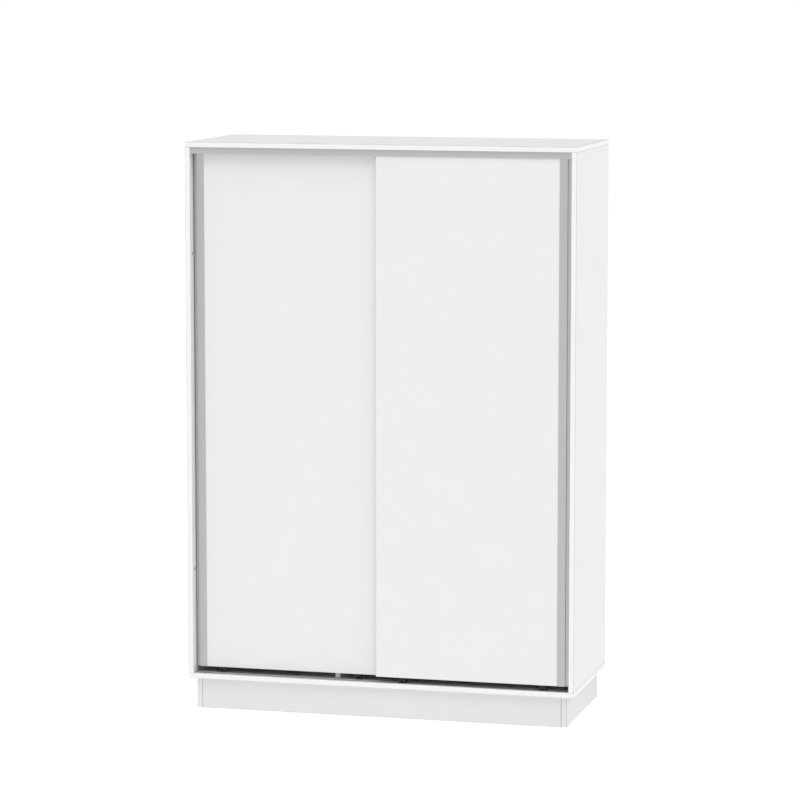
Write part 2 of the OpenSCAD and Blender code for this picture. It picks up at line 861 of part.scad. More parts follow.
// Edging on the edges that the grip profile leaves free
module door_edging(side)
    color(white)
    on_side(side)
        difference() {
            slab([door_in, board_out], [face_d(lane_of(side)), face_d(lane_of(side)) + door_t],
                 [door_z0, door_z1]);
            slab([door_in + edging_t, board_out + cut],
                 [face_d(lane_of(side)) - cut, face_d(lane_of(side)) + door_t + cut],
                 [door_z0 + edging_t, door_z1 - edging_t]);
            door_cuts(side);
        }

// The grip profile's section: u runs outwards from the face's inner edge, v back from the board's face
module grip_section() {
    lip_v = grip_groove_d - grip_flange_t;
    difference() {
        polygon([[0, -grip_flange_t], [grip_face_w, -grip_flange_t], [grip_face_w, lip_v],
                 [grip_w, lip_v], [grip_w, door_t + grip_flange_t], [0, door_t + grip_flange_t]]);
        // The slot that the board sits in
        translate([-cut, 0]) square([grip_slot + cut, door_t]);
        // The hollow behind the face
        translate([grip_slot + grip_wall, 0])
            square([grip_face_w - grip_slot - 2 * grip_wall, door_t]);
        // The hollow behind the groove
        translate([grip_face_w, lip_v + grip_wall])
            square([grip_groove_w - grip_wall, door_t - lip_v - grip_wall]);
    }
}

module door_grip(side)
    color(silver)
    on_side(side)
        translate([grip_x, front + face_d(lane_of(side)), door_z0])
            linear_extrude(door_z1 - door_z0) grip_section();

// Blocks on the upper edge that run between the walls of the lane
module door_guides(side)
    color(nylon)
    on_side(side)
        for (x = roller_xs) {
            slab([x - guide_l / 2, x + guide_l / 2],
                 [lane_mid(lane_of(side)) - guide_w / 2, lane_mid(lane_of(side)) + guide_w / 2],
                 [door_z1, guide_z]);
            for (way = [LEFT, RIGHT])
                rod_up(x + way * guide_l / 4, lane_mid(lane_of(side)), door_z1 - guide_stem_l,
                       guide_stem_d, guide_stem_l);
        }

// Plates let into the board's rear face, each with a tongue that carries an axle
module door_roller_brackets(side)
    color(steel)
    on_side(side)
        for (x = roller_xs)
            difference() {
                translate([x, front + bracket_d(side) + bracket_t, 0])
                    rotate([90, 0, 0])
                        linear_extrude(bracket_t)
                            polygon([[-tongue_w / 2, axle_z - tongue_lip],
                                     [tongue_w / 2, axle_z - tongue_lip],
                                     [tongue_w / 2, door_z0 - run_gap],
                                     [bracket_w / 2, door_z0 + tongue_rise],
                                     [bracket_w / 2, door_z0 + bracket_h],
                                     [-bracket_w / 2, door_z0 + bracket_h],
                                     [-bracket_w / 2, door_z0 + tongue_rise],
                                     [-tongue_w / 2, door_z0 - run_gap]]);
                rod_back(x, bracket_d(side) - cut, axle_z, axle_d + 2 * bore_gap, bracket_t + 2 * cut);
                at_bracket_screws(side, x)
                    rotate_extrude()
                        polygon([[0, -cut], [screw_head_d / 2 + bore_gap, -cut],
                                 [screw_head_d / 2 + bore_gap, 0], [screw_d / 2 + bore_gap, screw_head_t],
                                 [screw_d / 2 + bore_gap, bracket_t + cut], [0, bracket_t + cut]]);
            }

// Places a child at each screw of the bracket at x, on its rear face and pointing forwards
module at_bracket_screws(side, x)
    for (way = [LEFT, RIGHT])
        translate([x + way * bracket_w / 4, front + bracket_d(side) + bracket_t,
                   door_z0 + bracket_h * 2 / 3])
            rotate([90, 0, 0]) children();

module door_bracket_screws(side)
    color(steel)
    on_side(side)
        for (x = roller_xs)
            at_bracket_screws(side, x)
                countersunk_screw(track_screw_l, screw_d, screw_head_d, screw_head_t);

// Stub axles: a head before the wheel, and a collar between the wheel and the bracket
module door_axles(side)
    color(steel)
    on_side(side)
        for (x = roller_xs) {
            head_d = wheel_d0(side) - run_gap - axle_head_t;
            collar_d = wheel_d0(side) + wheel_w + run_gap;
            rod_back(x, head_d, axle_z, axle_d, bracket_d(side) + bracket_t - head_d);
            rod_back(x, head_d, axle_z, axle_head_d, axle_head_t);
            rod_back(x, collar_d, axle_z, axle_head_d, bracket_d(side) - collar_d);
        }

// Distance from the front edge to the front of a wheel
function wheel_d0(side) = lane_mid(lane_of(side)) - wheel_w / 2;

// A wheel: a rim with a rounded tread, a thinner web with lightening holes, and a hub
module door_wheel(side, place)
    color(nylon)
    on_side(side)
        translate([roller_xs[place], front + wheel_d0(side), axle_z])
            rotate([-90, 0, 0])
                difference() {
                    rotate_extrude()
                        polygon([[axle_d / 2 + bore_gap, 0], [hub_d / 2, 0], [hub_d / 2, web_in],
                                 [wheel_d / 2 - rim_t, web_in], [wheel_d / 2 - rim_t, 0],
                                 [wheel_d / 2 - tread_bevel, 0], [wheel_d / 2, tread_bevel],
                                 [wheel_d / 2, wheel_w - tread_bevel], [wheel_d / 2 - tread_bevel, wheel_w],
                                 [wheel_d / 2 - rim_t, wheel_w], [wheel_d / 2 - rim_t, wheel_w - web_in],
                                 [hub_d / 2, wheel_w - web_in], [hub_d / 2, wheel_w],
                                 [axle_d / 2 + bore_gap, wheel_w]]);
                    for (i = [0 : spoke_holes - 1])
                        rotate([0, 0, i * 360 / spoke_holes])
                            translate([(hub_d / 2 + wheel_d / 2 - rim_t) / 2, 0, -cut])
                                cylinder(d = spoke_hole_d, h = wheel_w + 2 * cut);
                }

// ---- Assembly ----

top_panel();
top_edging();
bottom_panel();
bottom_edging();
side_panel(LEFT);  // side_panel_left
side_panel(RIGHT);  // side_panel_right
side_edging(LEFT);  // side_edging_left
side_edging(RIGHT);  // side_edging_right
partition();
partition_edging();
hat_shelf();
for (i = [1 : shelf_count])
    shelf(i);
shelf_edging();
back_panel(LEFT);  // back_panel_left
back_panel(RIGHT);  // back_panel_right
back_nails();
plinth_front();
plinth_back();
plinth_side(LEFT);  // plinth_side_left
plinth_side(RIGHT);  // plinth_side_right
plinth_middle();
plinth_blocks();
plinth_screws();
floor_glides();
top_track();
track_screws();
bottom_track(0);  // bottom_track_front
bottom_track(1);  // bottom_track_rear
hanging_rail();
rail_sockets();
rail_socket_screws();
shelf_pins();
cam_discs();
cam_bolts();
dowels();
partition_screws();
wall_brackets();
wall_bracket_screws();
door_buffers();
door_panel(LEFT);  // left_door_panel
door_edging(LEFT);  // left_door_edging
door_grip(LEFT);  // left_door_grip
door_guides(LEFT);  // left_door_guides
door_roller_brackets(LEFT);  // left_door_roller_brackets
door_bracket_screws(LEFT);  // left_door_bracket_screws
door_axles(LEFT);  // left_door_axles
door_wheel(LEFT, 0);  // left_door_wheel_outer
door_wheel(LEFT, 1);  // left_door_wheel_inner
door_panel(RIGHT);  // right_door_panel
door_edging(RIGHT);  // right_door_edging
door_grip(RIGHT);  // right_door_grip
door_guides(RIGHT);  // right_door_guides
door_roller_brackets(RIGHT);  // right_door_roller_brackets
door_bracket_screws(RIGHT);  // right_door_bracket_screws
door_axles(RIGHT);  // right_door_axles
door_wheel(RIGHT, 0);  // right_door_wheel_outer
door_wheel(RIGHT, 1);  // right_door_wheel_inner
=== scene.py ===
"""Sliding door wardrobe: its visible pieces, finishes and studio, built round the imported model."""

import json
import math

import bmesh
import bpy
import numpy as np
from bpy.props import (FloatProperty, FloatVectorProperty, IntProperty, PointerProperty,
                       StringProperty)
from bpy.types import Operator, Panel, PropertyGroup
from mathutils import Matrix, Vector
from mathutils.geometry import tessellate_polygon


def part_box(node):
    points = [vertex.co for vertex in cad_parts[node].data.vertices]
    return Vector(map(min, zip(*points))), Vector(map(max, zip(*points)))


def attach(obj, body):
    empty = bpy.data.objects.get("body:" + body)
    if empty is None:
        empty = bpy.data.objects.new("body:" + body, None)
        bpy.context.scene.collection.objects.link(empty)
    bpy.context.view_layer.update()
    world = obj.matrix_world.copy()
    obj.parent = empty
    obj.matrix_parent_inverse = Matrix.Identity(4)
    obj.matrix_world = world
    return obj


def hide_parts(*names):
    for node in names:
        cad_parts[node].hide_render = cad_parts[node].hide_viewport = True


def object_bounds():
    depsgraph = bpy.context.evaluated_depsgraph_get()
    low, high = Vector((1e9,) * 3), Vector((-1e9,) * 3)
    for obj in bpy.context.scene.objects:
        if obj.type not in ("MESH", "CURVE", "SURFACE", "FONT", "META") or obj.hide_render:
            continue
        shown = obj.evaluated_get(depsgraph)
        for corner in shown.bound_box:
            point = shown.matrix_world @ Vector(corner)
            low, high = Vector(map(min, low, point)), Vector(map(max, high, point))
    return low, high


bl_info = {
    "name": "Sliding Door Wardrobe",
    "version": (1, 0, 0),
    "blender": (4, 5, 0),
    "location": "3D View > Sidebar > Wardrobe",
    "description": "Edgings, profiles, rail and fittings of a wardrobe with two sliding doors",
    "category": "Add Mesh",
}

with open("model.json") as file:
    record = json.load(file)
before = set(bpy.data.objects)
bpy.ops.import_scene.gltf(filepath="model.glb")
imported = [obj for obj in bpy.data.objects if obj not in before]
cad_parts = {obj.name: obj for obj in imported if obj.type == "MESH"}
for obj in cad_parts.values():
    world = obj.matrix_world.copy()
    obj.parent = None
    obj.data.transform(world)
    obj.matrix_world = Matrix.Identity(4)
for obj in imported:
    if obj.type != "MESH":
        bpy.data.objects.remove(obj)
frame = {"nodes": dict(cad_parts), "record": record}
CAD_BOX = [list(corner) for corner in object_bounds()]
MM = 0.001
X, Y, Z = np.eye(3)
HALF_PI = math.pi / 2
# Each door's side, and the way that it lies along X
SIDES = {"left": -1, "right": 1}
# Segments in one rounded corner
ARC_STEPS = 4
# Corners closer than this in the CAD mesh, in metres, are one corner
WELD = 1e-6
# Corners closer than this in a new mesh are one corner
SEAM = 1e-7
# A corner radius that leaves the corner sharp
SHARP = 1e-6


# ---- Sizes and colours ----


class WardrobeSizes(PropertyGroup):
    """Sizes of the details, in millimetres"""

    arris: FloatProperty(
        name="Edging arris", description="Radius milled on the edging's outer corners",
        default=0.7, min=0.1, max=0.8, unit="NONE")
    ease: FloatProperty(
        name="Board ease", description="Radius on the edges of loose boards",
        default=0.5, min=0.1, max=2.0)
    grip_face: FloatProperty(
        name="Grip face", description="Width of the grip profile's flat face",
        default=24.5, min=20.0, max=40.0)
    grip_groove: FloatProperty(
        name="Groove depth", description="Depth of the finger groove",
        default=7.0, min=5.0, max=10.0)
    grip_slot: FloatProperty(
        name="Board slot", description="Depth of the slot that holds the door board",
        default=16.0, min=10.0, max=16.0)
    wall: FloatProperty(
        name="Profile wall", description="Wall thickness of the aluminium profiles",
        default=1.2, min=1.0, max=2.0)
    roof: FloatProperty(
        name="Track roof", description="Thickness of the top track's roof",
        default=1.5, min=1.0, max=3.0)
    rail_wall: FloatProperty(
        name="Rail wall", description="Wall thickness of the hanging rail",
        default=1.0, min=0.8, max=2.0)
    turns: IntProperty(
        name="Turned steps", description="Number of faces round a turned piece",
        default=48, min=16, max=96)


def hue(name, description, code):
    """A colour property, kept as an sRGB hex code."""
    return StringProperty(name=name, description=description, default=code)


class WardrobeColours(PropertyGroup):
    """Colours of the finishes, as sRGB hex codes"""

    board: hue("Board", "Melamine face of the boards", "#F1F1F1")
    edging: hue("Edging", "ABS edging", "#F9F9F9")
    # Plinth: the boards' white darkened, painted shade under the bottom board's overhang
    plinth: hue("Plinth", "Melamine face of the plinth", "#E8E8E8")
    # Grey on the edging's milled arris: painted shade of the seam between band and board
    joint: hue("Glue joint", "Milled arris of the edging", "#ABAAA7")
    # Near black on arrises: painted shade of open joints, on the plinth boards and along the bottom
    # board's sides
    gap: hue("Open joint", "Arris beside an open joint", "#4E4D4C")
    core: hue("Core", "Cut chipboard", "#C6A77C")
    hardboard: hue("Hardboard", "Rear face of the back", "#8A6540")
    aluminium: hue("Aluminium", "Anodised profiles", "#C5C5C5")
    zinc: hue("Zinc plating", "Screws, nails and brackets", "#C9CCD0")
    chrome: hue("Chrome", "Rail and shelf pins", "#DADBDD")
    die_cast: hue("Die casting", "Cam discs", "#9A9C9F")
    black: hue("Black steel", "Partition screws", "#2B2B2C")
    nylon: hue("Nylon", "Guides, blocks and glides", "#E6E5E0")
    wheel: hue("Wheel nylon", "Wheels, coloured right through", "#2E2E2F")
    beech: hue("Beech", "Dowels", "#D5AE7C")
    rubber: hue("Rubber", "Door buffers", "#8D8E90")
    floor: hue("Floor", "Studio floor", "#F7F7F7")


class WardrobeStudio(PropertyGroup):
    """Camera and light"""

    eye: FloatVectorProperty(
        name="Camera", description="Place of the camera", default=(2.6551, -10.1539, 2.2698),
        subtype="TRANSLATION", unit="LENGTH")
    turn: FloatProperty(
        name="Turn", description="Angle of the view to the left of straight back",
        default=math.radians(14.629), subtype="ANGLE")
    tilt: FloatProperty(
        name="Tilt", description="Angle of the view below level",
        default=math.radians(7.223), subtype="ANGLE")
    lens: FloatProperty(
        name="Lens", description="Focal length on a 36 mm sensor",
        default=156.06, min=20.0, unit="CAMERA")
    dome: FloatProperty(
        name="Dome", description="Strength of the white dome at eye level",
        default=1.0, min=0.0)
    upper: FloatProperty(
        name="Upper dome", description="Strength of the dome above eye level",
        default=0.15, min=0.0)
    overhead: FloatProperty(
        name="Overhead", description="Strength of the dome straight overhead",
        default=1.35, min=0.0)
    boxes: FloatProperty(
        name="Soft boxes", description="Strength of each of the two soft boxes",
        default=0.76, min=0.0)
    table: FloatProperty(
        name="Table", description="Light given off by the floor", default=1.05, min=0.0)


# ---- Small tools ----


def linear(code):
    """The linear colour of an sRGB hex code, with alpha."""
    value = np.array([int(code[i:i + 2], 16) for i in (1, 3, 5)]) / 255
    value = np.where(value <= 0.04045, value / 12.92, ((value + 0.055) / 1.055) ** 2.4)
    return (*map(float, value), 1.0)


def darker(colour, share):
    """A linear colour with only this share of its light, and full alpha."""
    return tuple(share * c for c in colour[:3]) + (1.0,)


def box(node):
    """Lowest and highest corner of a CAD node, as arrays."""
    return [np.array(corner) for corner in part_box(node)]


def solids(node):
    """Lowest and highest corner of each separate solid in a CAD node, found by spreading the
    lowest corner number over triangles that share a corner until nothing changes."""
    mesh = frame["nodes"][node].data
    points = np.empty(len(mesh.vertices) * 3)
    mesh.vertices.foreach_get("co", points)
    points = points.reshape(-1, 3)
    corners = np.empty(len(mesh.loops), int)
    mesh.loops.foreach_get("vertex_index", corners)
    _, same = np.unique(np.round(points / WELD).astype(np.int64), axis=0, return_inverse=True)
    triangles = same.reshape(-1)[corners].reshape(-1, 3)
    label = np.arange(same.max() + 1)
    while True:
        lowest = label[triangles].min(axis=1)
        spread = label.copy()
        np.minimum.at(spread, triangles.ravel(), np.repeat(lowest, 3))
        spread = spread[spread]
        if (spread == label).all():
            break
        label = spread
    owner = label[same.reshape(-1)]
    found = [points[owner == k] for k in np.unique(owner)]
    return [(p.min(axis=0), p.max(axis=0)) for p in found]


def node(tree, kind, inputs=None, **settings):
    """Adds a node with its settings, and its inputs as values or as links from other sockets."""
    made = tree.nodes.new(kind)
    for key, value in settings.items():
        setattr(made, key, value)
    for key, value in (inputs or {}).items():
        if isinstance(value, bpy.types.NodeSocket):
            tree.links.new(value, made.inputs[key])
        else:
            made.inputs[key].default_value = value
    return made


def blank(name):
    """A new material with only its output, and its tree."""
    material = bpy.data.materials.new(name)
    material.use_nodes = True
    material.node_tree.nodes.clear()
    return material, material.node_tree


def finish(tree, inputs, bump=None):
    """Ends a material with the shader; bump is (height socket, depth in metres, strength)."""
    if bump is not None:
        height, depth, strength = bump
        raised = node(tree, "ShaderNodeBump",
                      {"Height": height, "Distance": depth, "Strength": strength})
        inputs = {**inputs, "Normal": raised.outputs["Normal"]}
    shader = node(tree, "ShaderNodeBsdfPrincipled", inputs)
    node(tree, "ShaderNodeOutputMaterial", {"Surface": shader.outputs["BSDF"]})


def noise(tree, where, pitch, detail=2.0, rough=0.5):
    """Noise whose lumps are about pitch metres across: its scale is one over the pitch."""
    return node(tree, "ShaderNodeTexNoise", {"Vector": where, "Scale": 1 / pitch, "Detail": detail,
                                             "Roughness": rough}).outputs["Fac"]


def ramp(tree, value, low, high, to_low=0.0, to_high=1.0):
    """Carries a value in a straight line from one range to another, and holds it there."""
    return node(tree, "ShaderNodeMapRange",
                {"Value": value, "From Min": low, "From Max": high,
                 "To Min": to_low, "To Max": to_high}).outputs["Result"]


def blend(tree, amount, first, second):
    """Mixes two colours in a straight line: the first at amount 0, the second at 1."""
    return node(tree, "ShaderNodeMix", {0: amount, 6: first, 7: second},
                data_type="RGBA").outputs[2]


# ---- Surfaces ----


def rounded(corners, radii, steps=ARC_STEPS):
    """A closed outline with its corners rounded. Each corner becomes an arc about the point where
    lines at the radius from both edges meet; the second result marks the arcs' own segments."""
    corner = np.asarray(corners, float)
    radius = np.broadcast_to(np.asarray(radii, float), len(corner))[:, None]
    back = np.roll(corner, 1, axis=0) - corner
    on = np.roll(corner, -1, axis=0) - corner
    back /= np.linalg.norm(back, axis=1)[:, None]
    on /= np.linalg.norm(on, axis=1)[:, None]
    half = np.arccos(np.clip((back * on).sum(axis=1), -1, 1))[:, None] / 2
    middle = back + on
    middle /= np.linalg.norm(middle, axis=1)[:, None]
    centre = corner + middle * radius / np.sin(half)
    start = corner + back * radius / np.tan(half) - centre
    end = corner + on * radius / np.tan(half) - centre
    share = np.linspace(0, 1, steps + 1)[None, :, None]
    ray = start[:, None] * (1 - share) + end[:, None] * share
    ray *= radius[:, :, None] / np.linalg.norm(ray, axis=2)[:, :, None]
    points = (centre[:, None] + ray).reshape(-1, 2)
    arcs = np.tile(np.arange(steps + 1) < steps, len(corner))
    return points, arcs


def rectangle(a0, a1, b0, b1):
    """The corners of a rectangle, anticlockwise."""
    return [(a0, b0), (a1, b0), (a1, b1), (a0, b1)]


def walls(points, smooth, tone=0):
    """Faces between the rows of a grid of points [along, around, xyz] that closes on itself
    around. smooth and tone hold for each segment around, or for every face."""
    rows, count = points.shape[:2]
    first = np.arange(rows - 1)[:, None] * count
    now = np.arange(count)[None]
    after = (now + 1) % count
    quads = np.stack([first + now, first + after, first + count + after, first + count + now],
                     axis=2)
    shape = (rows - 1, count)
    return (points.reshape(-1, 3), quads.reshape(-1, 4).tolist(),
            np.broadcast_to(smooth, shape).ravel(), np.broadcast_to(tone, shape).ravel())


def ends(loops):
    """Flat faces over both ends of walls that share their ends; loops are their 2D outlines and
    their grids of points."""
    flat = [[Vector((*p, 0)) for p in outline] for outline, _ in loops]
    triangles = np.array(tessellate_polygon(flat))
    caps = []
    for row in (0, -1):
        points = np.concatenate([grid[row] for _, grid in loops])
        caps.append((points, triangles.tolist(), np.zeros(len(triangles), bool),
                     np.zeros(len(triangles), int)))
    return caps


def prism(outlines, spine, aside, up, tone=0):
    """Outlines (a, b) carried along a spine: point = spine + a * aside + b * up. The first outline
    is the outside and the others are holes. tone is the material of the rounded corners, for each
    length of the spine or for all of it."""
    parts, loops = [], []
    for points, arcs in outlines:
        grid = (spine[:, None] + points[None, :, :1] * aside[:, None]
                + points[None, :, 1:] * up[:, None])
        parts.append(walls(grid, arcs, np.where(arcs, np.reshape(tone, (-1, 1)), 0)))
        loops.append((points, grid))
    return parts + ends(loops)


def straight(outlines, start, end, aside, up, tone=0):
    """A prism along one straight line."""
    spine = np.array([start, end], float)
    return prism(outlines, spine, np.array([aside, aside]), np.array([up, up]), tone)


def turned(profile, base, axis, steps):
    """A profile (radius, height) turned about an axis through base:
    point = base + height * axis + radius * (cos t * side + sin t * other)."""
    profile = np.asarray(profile, float)
    side = np.cross(axis, X if abs(axis[0]) < 0.9 else Y)
    side /= np.linalg.norm(side)
    other = np.cross(axis, side)
    angle = np.linspace(0, 2 * math.pi, steps, endpoint=False)
    ring = np.cos(angle)[:, None] * side + np.sin(angle)[:, None] * other
    grid = base + profile[:, None, 1:] * axis + profile[:, None, :1] * ring[None]
    return walls(grid, True)


def eased_box(low, high, across, ease, tone=0):
    """A board with rounded edges, which have the material tone. Its outline is a rounded
    rectangle; from face to face it moves outwards by ease * sin t as it rises by
    ease * (1 - cos t), and back again at the other face."""
    p, q = [k for k in range(3) if k != across]
    turn = np.linspace(0, HALF_PI, ARC_STEPS // 2 + 1)
    inset = ease * (1 - np.sin(turn))
    rise = ease * (1 - np.cos(turn))
    inset = np.concatenate([inset, inset[::-1]])
    height = np.concatenate([low[across] + rise, high[across] - rise[::-1]])
    # Corners seen from the face are rounder than the edges, so they never close up
    corner = 1.5 * ease
    outline, arcs = rounded(rectangle(low[p], high[p], low[q], high[q]), corner)
    centre = np.clip(outline, [low[p] + corner, low[q] + corner],
                     [high[p] - corner, high[q] - corner])
    outward = (outline - centre) / corner
    outward[np.abs(outward) < 1e-9] = 0
    grid = np.empty((len(inset), len(outline), 3))
    moved = outline[None] - outward[None] * inset[:, None, None]
    grid[..., p], grid[..., q] = moved[..., 0], moved[..., 1]
    grid[..., across] = height[:, None]
    level = np.diff(height) < ease
    smooth = level[:, None] | arcs[None]
    return [walls(grid, smooth, np.where(level, tone, 0)[:, None])] + ends([(outline, grid)])


def placed(name, data):
    """A new object with its data, linked to the scene."""
    held = bpy.data.objects.new(name, data)
    bpy.context.scene.collection.objects.link(held)
    return held


def piece(name, parts, body, materials, replaced):
    """Makes one object from parts, closes its seams, points its faces outwards, ties it to
    its body, and hides the CAD nodes that it stands for."""
    counts = np.cumsum([0] + [len(part[0]) for part in parts])
    faces = [[k + shift for k in face] for part, shift in zip(parts, counts) for face in part[1]]
    mesh = bpy.data.meshes.new(name)
    mesh.from_pydata(np.concatenate([part[0] for part in parts]), [], faces)
    mesh.polygons.foreach_set("use_smooth", np.concatenate([part[2] for part in parts]))
    mesh.polygons.foreach_set("material_index",
                              np.concatenate([part[3] for part in parts]).astype(int))
    work = bmesh.new()
    work.from_mesh(mesh)
    bmesh.ops.remove_doubles(work, verts=work.verts, dist=SEAM)
    bmesh.ops.recalc_face_normals(work, faces=work.faces)
    work.to_mesh(mesh)
    work.free()
    mesh.set_sharp_from_angle(angle=math.radians(40))
    for material in materials:
        mesh.materials.append(material)
    made = placed(name, mesh)
    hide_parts(*replaced)
    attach(made, body)
    return made


def eased_copy(name, source, width, material, body):
    """A CAD node's shape with its sharp edges eased by a bevel."""
    mesh = frame["nodes"][source].data.copy()
    work = bmesh.new()
    work.from_mesh(mesh)
    bmesh.ops.remove_doubles(work, verts=work.verts, dist=WELD)
    bmesh.ops.dissolve_limit(work, angle_limit=math.radians(1), verts=work.verts,
                             edges=work.edges)
    work.to_mesh(mesh)
    work.free()
    mesh.polygons.foreach_set("use_smooth", np.ones(len(mesh.polygons), bool))
    mesh.materials.clear()
    mesh.materials.append(material)
    made = placed(name, mesh)
    bevel = made.modifiers.new("ease", "BEVEL")
    bevel.width = width
    bevel.segments = 2
    bevel.limit_method = "ANGLE"
    bevel.angle_limit = math.radians(35)
    bevel.harden_normals = True
    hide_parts(source)
    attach(made, body)
    return made


# ---- Finishes ----


def printed_paper(tree, where, white):
    """White décor paper: its print varies by one or two percent over a hand's width."""
    print_run = ramp(tree, noise(tree, where, 90 * MM), 0.35, 0.65)
    return blend(tree, print_run, darker(white, 0.985), white)


def melamine_chipboard(name, white, core, across):
    """Melamine-faced chipboard: printed paper pressed with a fine pearl texture, which gives the
    eye an even satin white; the cut edges show tan wood particles. across is the axis through
    the board, so every face that looks along another axis is a cut one."""
    material, tree = blank(name)
    place = node(tree, "ShaderNodeTexCoord")
    where = place.outputs["Object"]
    facing = node(tree, "ShaderNodeSeparateXYZ", {0: place.outputs["Normal"]}).outputs[across]
    facing = node(tree, "ShaderNodeMath", {0: facing}, operation="ABSOLUTE").outputs[0]
    cut = ramp(tree, facing, 0.3, 0.2)
    # Particles 3 mm long, lying in the plane of the board
    flat = [1.0, 1.0, 1.0]
    flat[across] = 2.5
    lying = node(tree, "ShaderNodeMapping", {"Vector": where, "Scale": flat}).outputs["Vector"]
    grains = node(tree, "ShaderNodeTexVoronoi", {"Vector": lying, "Scale": 1 / (3 * MM)})
    shade = node(tree, "ShaderNodeSeparateColor", {0: grains.outputs["Color"]}).outputs[0]
    particles = blend(tree, ramp(tree, shade, 0.1, 0.9), darker(core, 0.62), core)
    # Pearl texture with lumps 1.5 mm across, and pits between the particles
    pearl = noise(tree, where, 1.5 * MM, 1.0)
    height = node(tree, "ShaderNodeMix", {0: cut, 2: pearl, 3: grains.outputs["Distance"]},
                  data_type="FLOAT").outputs[0]
    finish(tree, {"Base Color": blend(tree, cut, printed_paper(tree, where, white), particles),
                  "Roughness": ramp(tree, cut, 0, 1, 0.42, 0.9), "IOR": 1.5},
           (height, 0.05 * MM, 0.35))
    return material


def melamine_banded(name, white):
    """Melamine board with every visible edge banded in the same white; on the plinth this is a
    darker white, painted shade.
    """
    material, tree = blank(name)
    where = node(tree, "ShaderNodeTexCoord").outputs["Object"]
    finish(tree, {"Base Color": printed_paper(tree, where, white), "Roughness": 0.42,
                  "IOR": 1.5}, (noise(tree, where, 1.5 * MM, 1.0), 0.05 * MM, 0.35))
    return material


def moulded(name, colour, rough, pitch, depth, ior=1.5):
    """A moulded or extruded plastic: even colour with faint cloudiness, and the fine grain of
    its tool, which breaks up the highlights."""
    material, tree = blank(name)
    where = node(tree, "ShaderNodeTexCoord").outputs["Object"]
    cloud = ramp(tree, noise(tree, where, 20 * MM), 0.3, 0.7)
    tone = blend(tree, cloud, darker(colour, 0.97), colour)
    finish(tree, {"Base Color": tone, "Roughness": rough, "IOR": ior},
           (noise(tree, where, pitch, 2.0), depth, 0.4))
    return material


def drawn_metal(name, colour, rough, spread, pitch, along=None, depth=0.01 * MM):
    """A metal: even reflections, softened by fine marks. Marks run for 150 mm along one axis on an
    extruded and brushed profile, or lie every way as on a tumbled or plated part."""
    material, tree = blank(name)
    where = node(tree, "ShaderNodeTexCoord").outputs["Object"]
    scale = [1 / pitch] * 3
    if along is not None:
        scale[along] = 1 / (150 * MM)
    lines = node(tree, "ShaderNodeMapping", {"Vector": where, "Scale": scale}).outputs["Vector"]
    marks = node(tree, "ShaderNodeTexNoise",
                 {"Vector": lines, "Scale": 1.0, "Detail": 3.0}).outputs["Fac"]
    tone = blend(tree, ramp(tree, marks, 0.3, 0.7), darker(colour, 0.94), colour)
    finish(tree, {"Base Color": tone, "Metallic": 1.0,
                  "Roughness": ramp(tree, marks, 0.3, 0.7, rough - spread, rough + spread)},
           (marks, depth, 0.3))
    return material


def hardboard_back(name, brown, white):
    """Hardboard: its rear face keeps the print of the wire screen that it was pressed on and shows
    matted brown fibres; the face towards the room is lacquered white."""
    material, tree = blank(name)
    place = node(tree, "ShaderNodeTexCoord")
    where = place.outputs["Object"]
    facing = node(tree, "ShaderNodeSeparateXYZ", {0: place.outputs["Normal"]}).outputs[1]
    inner = ramp(tree, facing, -0.2, -0.3)
    # Screen wires 2 mm apart; a real screen is a little finer
    wires = [node(tree, "ShaderNodeTexWave",
                  {"Vector": where, "Scale": 0.314 / (2 * MM), "Distortion": 0.0},
                  bands_direction=way).outputs["Fac"] for way in ("X", "Z")]
    screen = node(tree, "ShaderNodeMath", {0: wires[0], 1: wires[1]},
                  operation="MULTIPLY").outputs[0]
    fibres = noise(tree, where, 4 * MM, 6.0, 0.7)
    patches = ramp(tree, noise(tree, where, 160 * MM, 2.0), 0.3, 0.7, -0.1, 0.1)
    shade = node(tree, "ShaderNodeMath", {0: fibres, 1: patches}, operation="ADD").outputs[0]
    wood = blend(tree, ramp(tree, shade, 0.25, 0.7), darker(brown, 0.68), brown)
    height = node(tree, "ShaderNodeMix", {0: inner, 2: screen, 3: fibres},
                  data_type="FLOAT").outputs[0]
    finish(tree, {"Base Color": blend(tree, inner, wood, white),
                  "Roughness": ramp(tree, inner, 0, 1, 0.8, 0.38), "IOR": 1.5},
           (height, 0.15 * MM, 0.3))
    return material


def beech_wood(name, colour):
    """Turned beech: fine straight grain along the dowel, with short darker flecks."""
    material, tree = blank(name)
    where = node(tree, "ShaderNodeTexCoord").outputs["Object"]
    # Flecks 0.8 mm wide and 9 mm long
    scale = (1 / (0.8 * MM), 1 / (0.8 * MM), 1 / (9 * MM))
    along = node(tree, "ShaderNodeMapping", {"Vector": where, "Scale": scale}).outputs["Vector"]
    grain = node(tree, "ShaderNodeTexNoise",
                 {"Vector": along, "Scale": 1.0, "Detail": 4.0}).outputs["Fac"]
    tone = blend(tree, ramp(tree, grain, 0.35, 0.65), darker(colour, 0.7), colour)
    finish(tree, {"Base Color": tone, "Roughness": 0.6, "IOR": 1.5}, (grain, 0.05 * MM, 0.4))
    return material


# ---- The set of materials, and what each CAD node gets ----

ACROSS_X = ("side_panel_left", "side_panel_right", "partition")
ACROSS_Y = ("left_door_panel", "right_door_panel")
ACROSS_Z = ("top_panel", "bottom_panel")
SHELVES = ("shelf_1", "shelf_2", "shelf_3", "shelf_4", "hat_shelf")
PLINTH = ("plinth_front", "plinth_back", "plinth_side_left", "plinth_side_right", "plinth_middle")
RECORD = frame["record"]
BODY = {part: body for body, parts in RECORD["behaviour"]["bodies"].items() for part in parts}


def finished(name):
    """A material that the finishes operator has made."""
    return bpy.data.materials[name]


